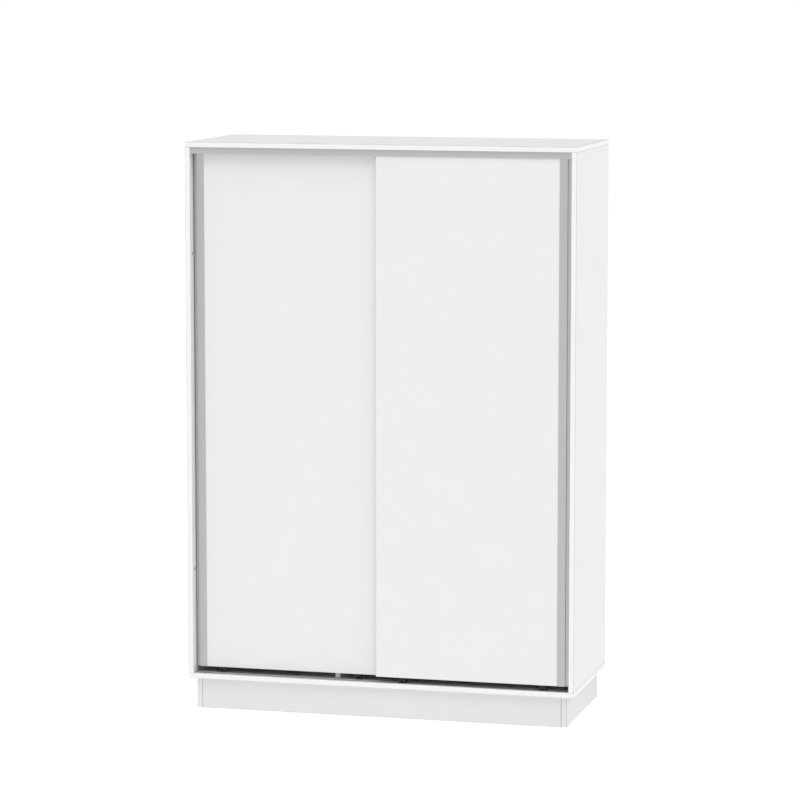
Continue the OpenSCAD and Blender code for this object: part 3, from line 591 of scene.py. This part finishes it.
def dress(nodes, name):
    """Gives CAD nodes a material."""
    for part in nodes:
        for held in frame["nodes"][part].material_slots:
            held.material = finished(name)


def add(name, parts, materials, *nodes):
    """A piece that stands for CAD nodes, on their body, with the listed finishes."""
    return piece(name, parts, BODY[nodes[0]], [finished(m) for m in materials],
                 nodes)


class WARDROBE_OT_finishes(Operator):
    """Make every finish, and give the CAD boards, back sheets and inner fittings theirs"""

    bl_idname = "wardrobe.finishes"
    bl_label = "Finishes"

    def execute(self, context):
        hues = context.scene.wardrobe_colours
        board, core = linear(hues.board), linear(hues.core)
        for across, axis in enumerate("xyz"):
            melamine_chipboard(f"melamine_faced_chipboard_{axis}", board, core, across)
        # The plinth's darker white is painted shade under the bottom board's overhang
        melamine_banded("plinth_melamine_painted_shade", linear(hues.plinth))
        moulded("abs_edging", linear(hues.edging), 0.36, 1.2 * MM, 0.03 * MM)
        # Grey arris finish: painted seam shade on the edgings' milled arrises
        moulded("seam_arris_painted_shade", linear(hues.joint), 0.6, 0.6 * MM, 0.03 * MM)
        # Near-black arris finish: painted shade of open joints
        moulded("open_seam_arris_painted_shade", linear(hues.gap), 0.7, 0.6 * MM, 0.03 * MM)
        hardboard_back("hardboard_lacquered_one_side", linear(hues.hardboard), board)
        for along, axis in ((0, "x"), (2, "z")):
            drawn_metal(f"satin_anodised_aluminium_{axis}", linear(hues.aluminium), 0.42, 0.05,
                        0.7 * MM, along)
        drawn_metal("zinc_plated_steel", linear(hues.zinc), 0.34, 0.08, 2 * MM)
        drawn_metal("bright_chromed_steel", linear(hues.chrome), 0.10, 0.03, 4 * MM, 0)
        drawn_metal("die_cast_zinc", linear(hues.die_cast), 0.5, 0.08, 0.8 * MM, None, 0.04 * MM)
        drawn_metal("blackened_steel", linear(hues.black), 0.45, 0.08, 1 * MM)
        moulded("black_moulded_nylon", linear(hues.wheel), 0.5, 0.8 * MM, 0.04 * MM, 1.53)
        moulded("moulded_nylon", linear(hues.nylon), 0.48, 0.8 * MM, 0.04 * MM, 1.53)
        moulded("soft_buffer_rubber", linear(hues.rubber), 0.62, 0.5 * MM, 0.05 * MM, 1.52)
        beech_wood("turned_beech", linear(hues.beech))
        for nodes, axis in ((ACROSS_X, "x"), (ACROSS_Y, "y"), (ACROSS_Z, "z")):
            dress(nodes, f"melamine_faced_chipboard_{axis}")
        dress(("back_panel_left", "back_panel_right"), "hardboard_lacquered_one_side")
        dress(("cam_bolts", "plinth_screws"), "zinc_plated_steel")
        dress(("left_door_axles", "right_door_axles"), "blackened_steel")
        dress(("dowels",), "turned_beech")
        return {"FINISHED"}


# ---- Boards and edgings ----


class WARDROBE_OT_boards(Operator):
    """Shelves and plinth boards, with their edges eased"""

    bl_idname = "wardrobe.boards"
    bl_label = "Shelves and plinth"

    def execute(self, context):
        ease = context.scene.wardrobe_sizes.ease * MM
        for part in SHELVES:
            low, high = box(part)
            add(f"{part}_board", eased_box(low, high, 2, ease),
                ["melamine_faced_chipboard_z"], part)
        # Plinth boards take the darker plinth white, painted shade
        # The thinnest way through a plinth board is across it
        for part in PLINTH:
            low, high = box(part)
            across = int(np.argmin(high - low))
            # The eased edges take the near-black arris finish, painted shade of the plinth's joints
            add(f"{part}_board", eased_box(low, high, across, 1.1 * ease, 1),
                ["plinth_melamine_painted_shade", "open_seam_arris_painted_shade"], part)
        return {"FINISHED"}


def wrapped(p_low, p_high, q_far, q_open, p_axis, q_axis):
    """The spine of a band round three sides of a board: along q, round a small corner, along p,
    round the other corner and back. aside points out of the board's edge all the way."""
    corner = 0.3 * MM
    turn = np.linspace(0, HALF_PI, ARC_STEPS + 1)
    angle = np.concatenate([[math.pi], math.pi - turn, HALF_PI - turn, [0.0]])
    aside = np.cos(angle)[:, None] * p_axis + np.sin(angle)[:, None] * q_axis
    half = len(turn)
    p = np.repeat([p_low, p_low + corner, p_high - corner, p_high], [1, half, half, 1])
    q = np.repeat([q_open, q_far - corner, q_far - corner, q_open], [1, half, half, 1])
    reach = np.repeat([0, corner, corner, 0], [1, half, half, 1])
    spine = p[:, None] * p_axis + q[:, None] * q_axis + reach[:, None] * aside
    return spine, aside


def band_section(thick, b_low, b_high, low_arris, high_arris):
    """Edging in section: a is out of the board's edge, and the two outer corners are milled."""
    glued = 0.05 * MM
    return [rounded(rectangle(0, thick, b_low, b_high), [glued, low_arris, high_arris, glued])]


class WARDROBE_OT_edgings(Operator):
    """Edging strips on the carcass, the shelves and the doors"""

    bl_idname = "wardrobe.edgings"
    bl_label = "Edgings"

    def execute(self, context):
        arris = context.scene.wardrobe_sizes.arris * MM
        # The second finish, on the bands' arrises, is the grey painted seam shade
        finish_pair = ["abs_edging", "seam_arris_painted_shade"]
        for part in ("top", "bottom"):
            low, high = box(f"{part}_edging")
            inner = box(f"{part}_panel")[0]
            spine, aside = wrapped(inner[0], -inner[0], -inner[1], -high[1], X, -Y)
            # The bottom board's joint with the side panels stands a little open: its upper arris is
            # milled larger, and its arrises along both sides take the near-black painted shade of
            # the open joint
            tone = np.ones(len(spine) - 1, int)
            arrises = [arris, arris]
            if part == "bottom":
                tone[[0, -1]] = 2
                arrises = [0.3 * MM, 0.75 * MM]
            section = band_section(inner[1] - low[1], low[2], high[2], *arrises)
            add(f"{part}_band", prism(section, spine, aside, np.tile(Z, (len(spine), 1)), tone),
                finish_pair + ["open_seam_arris_painted_shade"], f"{part}_edging")
        for part in ("side_edging_left", "side_edging_right", "partition_edging"):
            low, high = box(part)
            section = band_section(high[1] - low[1], low[0], high[0], arris, arris)
            start, end = [np.array([0, high[1], z]) for z in (low[2], high[2])]
            add(part.replace("edging", "band"), straight(section, start, end, -Y, X, 1),
                finish_pair, part)
        strips = []
        for low, high in solids("shelf_edging"):
            section = band_section(high[1] - low[1], low[2], high[2], arris, arris)
            start, end = [np.array([x, high[1], 0]) for x in (low[0], high[0])]
            strips += straight(section, start, end, -Y, Z, 1)
        add("shelf_bands", strips, finish_pair, "shelf_edging")
        for side, way in SIDES.items():
            low, high = box(f"{side}_door_edging")
            inner_low, inner_high = box(f"{side}_door_panel")
            far, open_end = (-inner_low[0], -high[0]) if way == 1 else (inner_high[0], low[0])
            spine, aside = wrapped(inner_low[2], inner_high[2], far, open_end, Z, -way * X)
            section = band_section(inner_low[2] - low[2], low[1], high[1], arris, arris)
            add(f"{side}_door_band", prism(section, spine, aside, np.tile(Y, (len(spine), 1)), 1),
                finish_pair, f"{side}_door_edging")
        return {"FINISHED"}


# ---- Aluminium profiles and rail ----


class WARDROBE_OT_grips(Operator):
    """Grip profiles on the doors' outer edges"""

    bl_idname = "wardrobe.grips"
    bl_label = "Grip profiles"

    def execute(self, context):
        size = context.scene.wardrobe_sizes
        wall, face, slot = size.wall * MM, size.grip_face * MM, size.grip_slot * MM
        # Radii of the outside's corners, in the order of its outline
        radii = np.array([0.4, 1.0, 0.8, 0.7, 0.8, 0.4, 0.3, 0.2, 0.2, 0.3]) * MM
        for side, way in SIDES.items():
            low, high = box(f"{side}_door_grip")
            wide, deep = high[0] - low[0], high[1] - low[1]
            flange = box(f"{side}_door_panel")[0][1] - low[1]
            lip = size.grip_groove * MM
            # A flat face, the finger groove at lip depth beside it, and the slot for the board
            outside = rounded(
                [(0, 0), (face, 0), (face, lip), (wide, lip), (wide, deep), (0, deep),
                 (0, deep - flange), (slot, deep - flange), (slot, flange), (0, flange)], radii)
            hollow_a = rounded(rectangle(slot + wall, face - wall, flange, deep - flange),
                               0.4 * MM)
            hollow_b = rounded(rectangle(face, wide - wall, lip + wall, deep - flange), 0.4 * MM)
            edge = low[0] if way == 1 else high[0]
            start, end = [np.array([edge, low[1], z]) for z in (low[2], high[2])]
            add(f"{side}_door_grip_profile",
                straight([outside, hollow_a, hollow_b], start, end, way * X, Y),
                ["satin_anodised_aluminium_z"], f"{side}_door_grip")
        return {"FINISHED"}


class WARDROBE_OT_tracks(Operator):
    """Top track with its two lanes, and the bottom channels"""

    bl_idname = "wardrobe.tracks"
    bl_label = "Tracks"

    def execute(self, context):
        size = context.scene.wardrobe_sizes
        wall, roof = size.wall * MM, size.roof * MM
        low, high = box("top_track")
        deep, tall = (high - low)[1:]
        # Three walls hang from the roof, and share what is left of the depth as two lanes
        lane = (deep - 3 * wall) / 2
        under = tall - roof
        legs = np.array([0, wall + lane, 2 * (wall + lane)])
        comb = []
        for leg in legs:
            comb += [(leg, 0), (leg + wall, 0), (leg + wall, under), (leg + wall + lane, under)]
        comb = comb[:-2] + [(deep, tall), (0, tall)]
        radii = np.full(len(comb), 0.4) * MM
        start, end = [np.array([x, low[1], low[2]]) for x in (low[0], high[0])]
        add("top_track_profile", straight([rounded(comb, radii)], start, end, Y, Z),
            ["satin_anodised_aluminium_x"], "top_track")
        for part in ("front", "rear"):
            low, high = box(f"bottom_track_{part}")
            half, tall = (high[1] - low[1]) / 2, high[2] - low[2]
            # A channel let into the board, with a thin flange lying on it at each side
            flange = 2.4 * MM
            thin = 0.8 * MM
            channel = [(0, tall), (0, tall - thin), (flange, tall - thin), (flange, 0),
                       (2 * half - flange, 0), (2 * half - flange, tall - thin),
                       (2 * half, tall - thin), (2 * half, tall), (2 * half - flange - wall, tall),
                       (2 * half - flange - wall, wall), (flange + wall, wall),
                       (flange + wall, tall)]
            radii = np.array([0.3, 0.3, 0.1, 0.6, 0.6, 0.1, 0.3, 0.3, 0.4, 0.4, 0.4, 0.4]) * MM
            start, end = [np.array([x, low[1], low[2]]) for x in (low[0], high[0])]
            add(f"bottom_track_{part}_profile",
                straight([rounded(channel, radii)], start, end, Y, Z),
                ["satin_anodised_aluminium_x"], f"bottom_track_{part}")
        return {"FINISHED"}


def ring_profile(corners, radii):
    """A closed profile (radius, height) with rounded corners; what lies on the axis stays there."""
    points, _ = rounded(corners, radii)
    points[points[:, 0] < 2 * SHARP, 0] = 0
    return np.vstack([points, points[:1]])


class WARDROBE_OT_rail(Operator):
    """Hanging rail, its sockets and the shelf pins"""

    bl_idname = "wardrobe.rail"
    bl_label = "Rail and shelf pins"

    def execute(self, context):
        size = context.scene.wardrobe_sizes
        low, high = box("hanging_rail")
        middle = (low + high) / 2
        r = (high[2] - low[2]) / 2
        long = high[0] - low[0]
        tube = ring_profile([(r - size.rail_wall * MM, 0), (r, 0), (r, long),
                             (r - size.rail_wall * MM, long)], 0.3 * MM)
        start = np.array([low[0], middle[1], middle[2]])
        add("hanging_rail_tube", [turned(tube, start, X, size.turns)], ["bright_chromed_steel"],
            "hanging_rail")
        # A socket is a flange against the board, with a cup that holds the rail with a little play
        flange, cup, bore = 4 * MM, r + 2.4 * MM, r + 0.05 * MM
        sockets = []
        for low, high in solids("rail_sockets"):
            wide, long = (high[2] - low[2]) / 2, high[0] - low[0]
            way = 1 if high[0] < middle[0] else -1
            foot = np.array([low[0] if way == 1 else high[0], middle[1], middle[2]])
            shape = ring_profile([(0, 0), (wide, 0), (wide, flange), (cup, flange), (cup, long),
                                  (bore, long), (bore, flange), (0, flange)],
                                 [SHARP, 0.3 * MM, 1.5 * MM, 1.5 * MM, 0.8 * MM, 0.8 * MM,
                                  0.1 * MM, SHARP])
            sockets.append(turned(shape, foot, way * X, size.turns))
        add("rail_socket_cups", sockets, ["bright_chromed_steel"], "rail_sockets")
        # Each pin stands in the nearest of the four upright faces, and points away from it
        faces = np.array([box("side_panel_left")[1][0], box("partition")[0][0],
                          box("partition")[1][0], box("side_panel_right")[0][0]])
        pins = []
        for low, high in solids("shelf_pins"):
            centre = (low + high) / 2
            k = int(np.argmin(np.abs(faces - centre[0])))
            way = (1, -1, 1, -1)[k]
            foot = np.array([faces[k], centre[1], centre[2]])
            inside, outside = sorted((faces[k] - low[0], high[0] - faces[k]))
            collar = (high[2] - low[2]) / 2
            peg, rim = collar - 1.5 * MM, 1 * MM
            shape = ring_profile([(0, -inside), (peg, -inside), (peg, 0), (collar, 0),
                                  (collar, rim), (peg, rim), (peg, outside), (0, outside)],
                                 [SHARP, 0.4 * MM, 0.05 * MM, 0.1 * MM, 0.3 * MM, 0.2 * MM,
                                  1.2 * MM, SHARP])
            pins.append(turned(shape, foot, way * X, size.turns // 2))
        add("shelf_pin_set", pins, ["bright_chromed_steel"], "shelf_pins")
        return {"FINISHED"}


# ---- Screws, nails and small fittings ----

# A cross-recessed screw, a hexagon socket screw and a nail. The radius and height of the head, the
# radius of the shank and the depth of the recess are in metres; steps is the faces round it.
CROSS_SCREW = {"head_r": 3.45 * MM, "head_t": 1.6 * MM, "shank_r": 1.75 * MM, "depth": 1.1 * MM,
               "steps": 40}
HEXAGON_SCREW = {"head_r": 5 * MM, "head_t": 2.5 * MM, "shank_r": 3.2 * MM, "depth": 3 * MM,
                 "steps": 48}
NAIL = {"head_r": 2.25 * MM, "head_t": 0.8 * MM, "shank_r": 0.8 * MM, "depth": 0.1 * MM,
        "steps": 16}
# Half the length and half the width of a cross recess's arms
CROSS_ARM = (1.9 * MM, 0.45 * MM)
# From the middle of a hexagon socket to its flats, and the radius of the dimple in a nail's head
HEXAGON_FLAT = 1.75 * MM
NAIL_DIMPLE = 0.6 * MM


def cross_reach(angle, long, wide):
    """How far a cross recess reaches at each angle: the further edge of its two arms, each a
    rectangle whose edge lies at half its size over the cosine or the sine."""
    c, s = np.abs(np.cos(angle)) + 1e-9, np.abs(np.sin(angle)) + 1e-9
    return np.maximum(np.minimum(long / c, wide / s), np.minimum(long / s, wide / c))


def hexagon_reach(angle, flats):
    """How far a hexagon socket reaches at each angle: the flats' distance over the cosine of the
    angle from the middle of the nearest flat."""
    sixth = math.pi / 3
    return flats / np.cos((angle + sixth / 2) % sixth - sixth / 2)


def driven(low, high, out, head_r, head_t, shank_r, cone, reach, depth, steps):
    """A screw or nail as one surface (row, angle): the recess floor, its rim, the crowned head,
    its edge, the shank and the point. out points from the point to the head."""
    axis = int(np.argmax(np.abs(out)))
    foot = (low + high) / 2
    foot[axis] = high[axis] if out[axis] > 0 else low[axis]
    long = high[axis] - low[axis]
    angle = np.linspace(0, 2 * math.pi, steps, endpoint=False)
    ring = np.ones(steps)
    rim = reach(angle)
    crown = 0.12 * head_t
    rows = [(0 * ring, -depth), (0.75 * rim, -depth), (rim, 0.0),
            (0.78 * head_r * ring, -0.3 * crown), (0.93 * head_r * ring, -crown),
            (head_r * ring, -2.2 * crown)]
    if cone:
        rows += [(shank_r * ring, -head_t)]
    else:
        rows += [(head_r * ring, -head_t), (shank_r * ring, -head_t)]
    rows += [(shank_r * ring, -(long - 2 * shank_r)), (0.12 * shank_r * ring, -long),
             (0 * ring, -long)]
    radius = np.array([row[0] for row in rows])
    height = np.array([row[1] for row in rows])
    side = np.eye(3)[(axis + 1) % 3]
    other = np.cross(out, side)
    grid = (foot + height[:, None, None] * out
            + radius[..., None] * (np.cos(angle)[:, None] * side + np.sin(angle)[:, None] * other))
    return walls(grid, True)


class WARDROBE_OT_fasteners(Operator):
    """Screws with their recesses, and the nails of the back"""

    bl_idname = "wardrobe.fasteners"
    bl_label = "Screws and nails"

    def execute(self, context):
        rail_low, rail_high = box("hanging_rail")
        middle = (rail_low[0] + rail_high[0]) / 2
        # The way each screw's head points, and whether it is countersunk
        sets = {
            "track_screws": (lambda c: -Z, False), "wall_bracket_screws": (lambda c: -Z, False),
            "rail_socket_screws": (lambda c: X if c[0] < middle else -X, False),
            "left_door_bracket_screws": (lambda c: Y, True),
            "right_door_bracket_screws": (lambda c: Y, True),
        }
        for part, (way, cone) in sets.items():
            screws = [driven(low, high, way((low + high) / 2), cone=cone,
                             reach=lambda angle: cross_reach(angle, *CROSS_ARM), **CROSS_SCREW)
                      for low, high in solids(part)]
            add(f"{part}_driven", screws, ["zinc_plated_steel"], part)
        mid_height = (CAD_BOX[0][2] + CAD_BOX[1][2]) / 2
        keys = [driven(low, high, Z if high[2] > mid_height else -Z, cone=True,
                       reach=lambda angle: hexagon_reach(angle, HEXAGON_FLAT), **HEXAGON_SCREW)
                for low, high in solids("partition_screws")]
        add("partition_screws_driven", keys, ["blackened_steel"], "partition_screws")
        nails = [driven(low, high, Y, cone=False,
                        reach=lambda angle: np.full(len(angle), NAIL_DIMPLE), **NAIL)
                 for low, high in solids("back_nails")]
        add("back_nails_driven", nails, ["zinc_plated_steel"], "back_nails")
        return {"FINISHED"}


class WARDROBE_OT_fittings(Operator):
    """Buffers, glides, wheels, guides, brackets, blocks and cams"""

    bl_idname = "wardrobe.fittings"
    bl_label = "Small fittings"

    def execute(self, context):
        steps = context.scene.wardrobe_sizes.turns
        domes = []
        for low, high in solids("door_buffers"):
            centre = (low + high) / 2
            way = 1 if centre[0] < 0 else -1
            r, tall = (high[2] - low[2]) / 2, high[0] - low[0]
            turn = np.linspace(0, HALF_PI, 7)
            # A flat foot, a short wall, and a dome: radius r cos t, height rising with sin t
            dome = np.stack([r * np.cos(turn), tall * (0.3 + 0.7 * np.sin(turn))], axis=1)
            shape = np.vstack([[(0, 0), (r, 0)], dome])
            foot = np.array([low[0] if way == 1 else high[0], centre[1], centre[2]])
            domes.append(turned(shape, foot, way * X, steps // 2))
        add("door_buffer_domes", domes, ["soft_buffer_rubber"], "door_buffers")
        pads = []
        for low, high in solids("floor_glides"):
            centre = (low + high) / 2
            r = (high[0] - low[0]) / 2
            foot = np.array([centre[0], centre[1], low[2]])
            # A pad under the board, and the nail that holds it
            pad, nail = 2 * MM, 1 * MM
            shape = ring_profile([(0, 0), (r, 0), (r, pad), (nail, pad), (nail, high[2]),
                                  (0, high[2])],
                                 [SHARP, 0.6 * MM, 0.3 * MM, 0.1 * MM, 0.3 * MM, SHARP])
            pads.append(turned(shape, foot, Z, steps // 2))
        add("floor_glide_pads", pads, ["moulded_nylon"], "floor_glides")
        # (CAD node, finish, width of the bevel in millimetres)
        copies = [("plinth_blocks", "moulded_nylon", 0.6), ("cam_discs", "die_cast_zinc", 0.25),
                  ("wall_brackets", "zinc_plated_steel", 0.4)]
        for side in SIDES:
            copies += [(f"{side}_door_guides", "moulded_nylon", 0.5),
                       (f"{side}_door_roller_brackets", "blackened_steel", 0.25),
                       (f"{side}_door_wheel_outer", "black_moulded_nylon", 0.2),
                       (f"{side}_door_wheel_inner", "black_moulded_nylon", 0.2)]
        for part, name, width in copies:
            eased_copy(f"{part}_eased", part, width * MM, finished(name), BODY[part])
        return {"FINISHED"}


# ---- Studio ----

# Two far soft boxes that graze the doors: (name, degrees to the right of the front, degrees up,
# degrees wide)
SOFT_BOXES = (("left_soft_box", -62, 42, 50), ("right_soft_box", 62, 42, 50))
# How far off their markers stand, in metres; it doesn't change their light
BOX_FAR = 6
# Radii of the floor's rings, in metres, and the points round each
FLOOR_RINGS = (0.0, 2.0, 6.0, 20.0, 80.0)
FLOOR_POINTS = 48
# The share of the floor's colour that it reflects; the rest of its brightness is its own light
FLOOR_SHARE = 0.07


class WARDROBE_OT_stage(Operator):
    """Pale floor, white dome, soft lights and the camera"""

    bl_idname = "wardrobe.stage"
    bl_label = "Stage"

    def execute(self, context):
        scene = context.scene
        studio = scene.wardrobe_studio
        pale = linear(scene.wardrobe_colours.floor)
        material, tree = blank("studio_floor_paint")
        where = node(tree, "ShaderNodeTexCoord").outputs["Object"]
        # Lit from below like a light table, so that almost no shadow is left on it
        finish(tree, {"Base Color": darker(pale, FLOOR_SHARE), "Roughness": 0.9, "IOR": 1.3,
                      "Specular IOR Level": 0.0, "Emission Color": pale,
                      "Emission Strength": studio.table},
               (noise(tree, where, 0.4, 2.0), 0.2 * MM, 0.05))
        rings = np.array(FLOOR_RINGS)
        angle = np.linspace(0, 2 * math.pi, FLOOR_POINTS, endpoint=False)
        grid = np.zeros((len(rings), len(angle), 3))
        grid[..., 0] = rings[:, None] * np.cos(angle)
        grid[..., 1] = rings[:, None] * np.sin(angle)
        points, faces, _, _ = walls(grid, False)
        mesh = bpy.data.meshes.new("studio_floor")
        mesh.from_pydata(points, [], faces)
        mesh.materials.append(material)
        floor = placed("studio_floor", mesh)

        world = bpy.data.worlds.new("white_dome")
        world.use_nodes = True
        tree = world.node_tree
        tree.nodes.clear()
        # White at the level of the eye, dim above it, and bright straight overhead
        up = node(tree, "ShaderNodeSeparateXYZ",
                  {0: node(tree, "ShaderNodeTexCoord").outputs["Generated"]}).outputs[2]
        low = ramp(tree, up, 0.1, 0.35, studio.dome, studio.upper)
        high = ramp(tree, up, 0.5, 1.0, 0, studio.overhead - studio.upper)
        light = node(tree, "ShaderNodeMath", {0: low, 1: high}, operation="ADD").outputs[0]
        back = node(tree, "ShaderNodeBackground", {"Color": (1, 1, 1, 1), "Strength": light})
        node(tree, "ShaderNodeOutputWorld", {"Surface": back.outputs[0]})
        scene.world = world

        for name, right, rise, wide in SOFT_BOXES:
            lamp = bpy.data.lights.new(name, "SUN")
            lamp.energy = studio.boxes
            lamp.angle = math.radians(wide)
            holder = placed(name, lamp)
            right, rise = math.radians(right), math.radians(rise)
            toward = Vector((math.sin(right) * math.cos(rise), -math.cos(right) * math.cos(rise),
                             math.sin(rise)))
            holder.location = BOX_FAR * toward
            holder.rotation_mode = "QUATERNION"
            holder.rotation_quaternion = toward.to_track_quat("Z", "Y")

        camera = placed("camera", bpy.data.cameras.new("camera"))
        camera.location = studio.eye
        level = math.cos(studio.tilt)
        look = Vector((-math.sin(studio.turn) * level, math.cos(studio.turn) * level,
                       -math.sin(studio.tilt)))
        camera.rotation_mode = "QUATERNION"
        camera.rotation_quaternion = look.to_track_quat("-Z", "Y")
        camera.data.sensor_width = 36.0
        camera.data.lens = studio.lens
        camera.data.clip_end = 200.0
        scene.camera = camera
        scene.view_settings.view_transform = "Standard"
        return {"FINISHED"}


class WARDROBE_PT_panel(Panel):
    """Lists the wardrobe's operators, sizes and colours"""

    bl_idname = "WARDROBE_PT_panel"
    bl_label = "Wardrobe"
    bl_space_type = "VIEW_3D"
    bl_region_type = "UI"
    bl_category = "Wardrobe"

    def draw(self, context):
        for operator in OPERATORS:
            self.layout.operator(operator.bl_idname)
        for group in ("sizes", "colours", "studio"):
            settings = getattr(context.scene, f"wardrobe_{group}")
            box_layout = self.layout.box()
            for key in settings.__annotations__:
                box_layout.prop(settings, key)


OPERATORS = (WARDROBE_OT_finishes, WARDROBE_OT_boards, WARDROBE_OT_edgings, WARDROBE_OT_grips,
             WARDROBE_OT_tracks, WARDROBE_OT_rail, WARDROBE_OT_fasteners, WARDROBE_OT_fittings,
             WARDROBE_OT_stage)
GROUPS = (WardrobeSizes, WardrobeColours, WardrobeStudio)


def register():
    """Registers the classes, and hangs the settings on the scene."""
    for made_class in GROUPS + OPERATORS + (WARDROBE_PT_panel,):
        bpy.utils.register_class(made_class)
    bpy.types.Scene.wardrobe_sizes = PointerProperty(type=WardrobeSizes)
    bpy.types.Scene.wardrobe_colours = PointerProperty(type=WardrobeColours)
    bpy.types.Scene.wardrobe_studio = PointerProperty(type=WardrobeStudio)


def unregister():
    """Undoes register, in the other order."""
    for key in ("wardrobe_sizes", "wardrobe_colours", "wardrobe_studio"):
        delattr(bpy.types.Scene, key)
    for made_class in (WARDROBE_PT_panel,) + OPERATORS[::-1] + GROUPS[::-1]:
        bpy.utils.unregister_class(made_class)


def main():
    """Builds the wardrobe."""
    register()
    for operator in OPERATORS:
        group, name = operator.bl_idname.split(".")
        getattr(getattr(bpy.ops, group), name)()


if __name__ == "__main__":
    main()
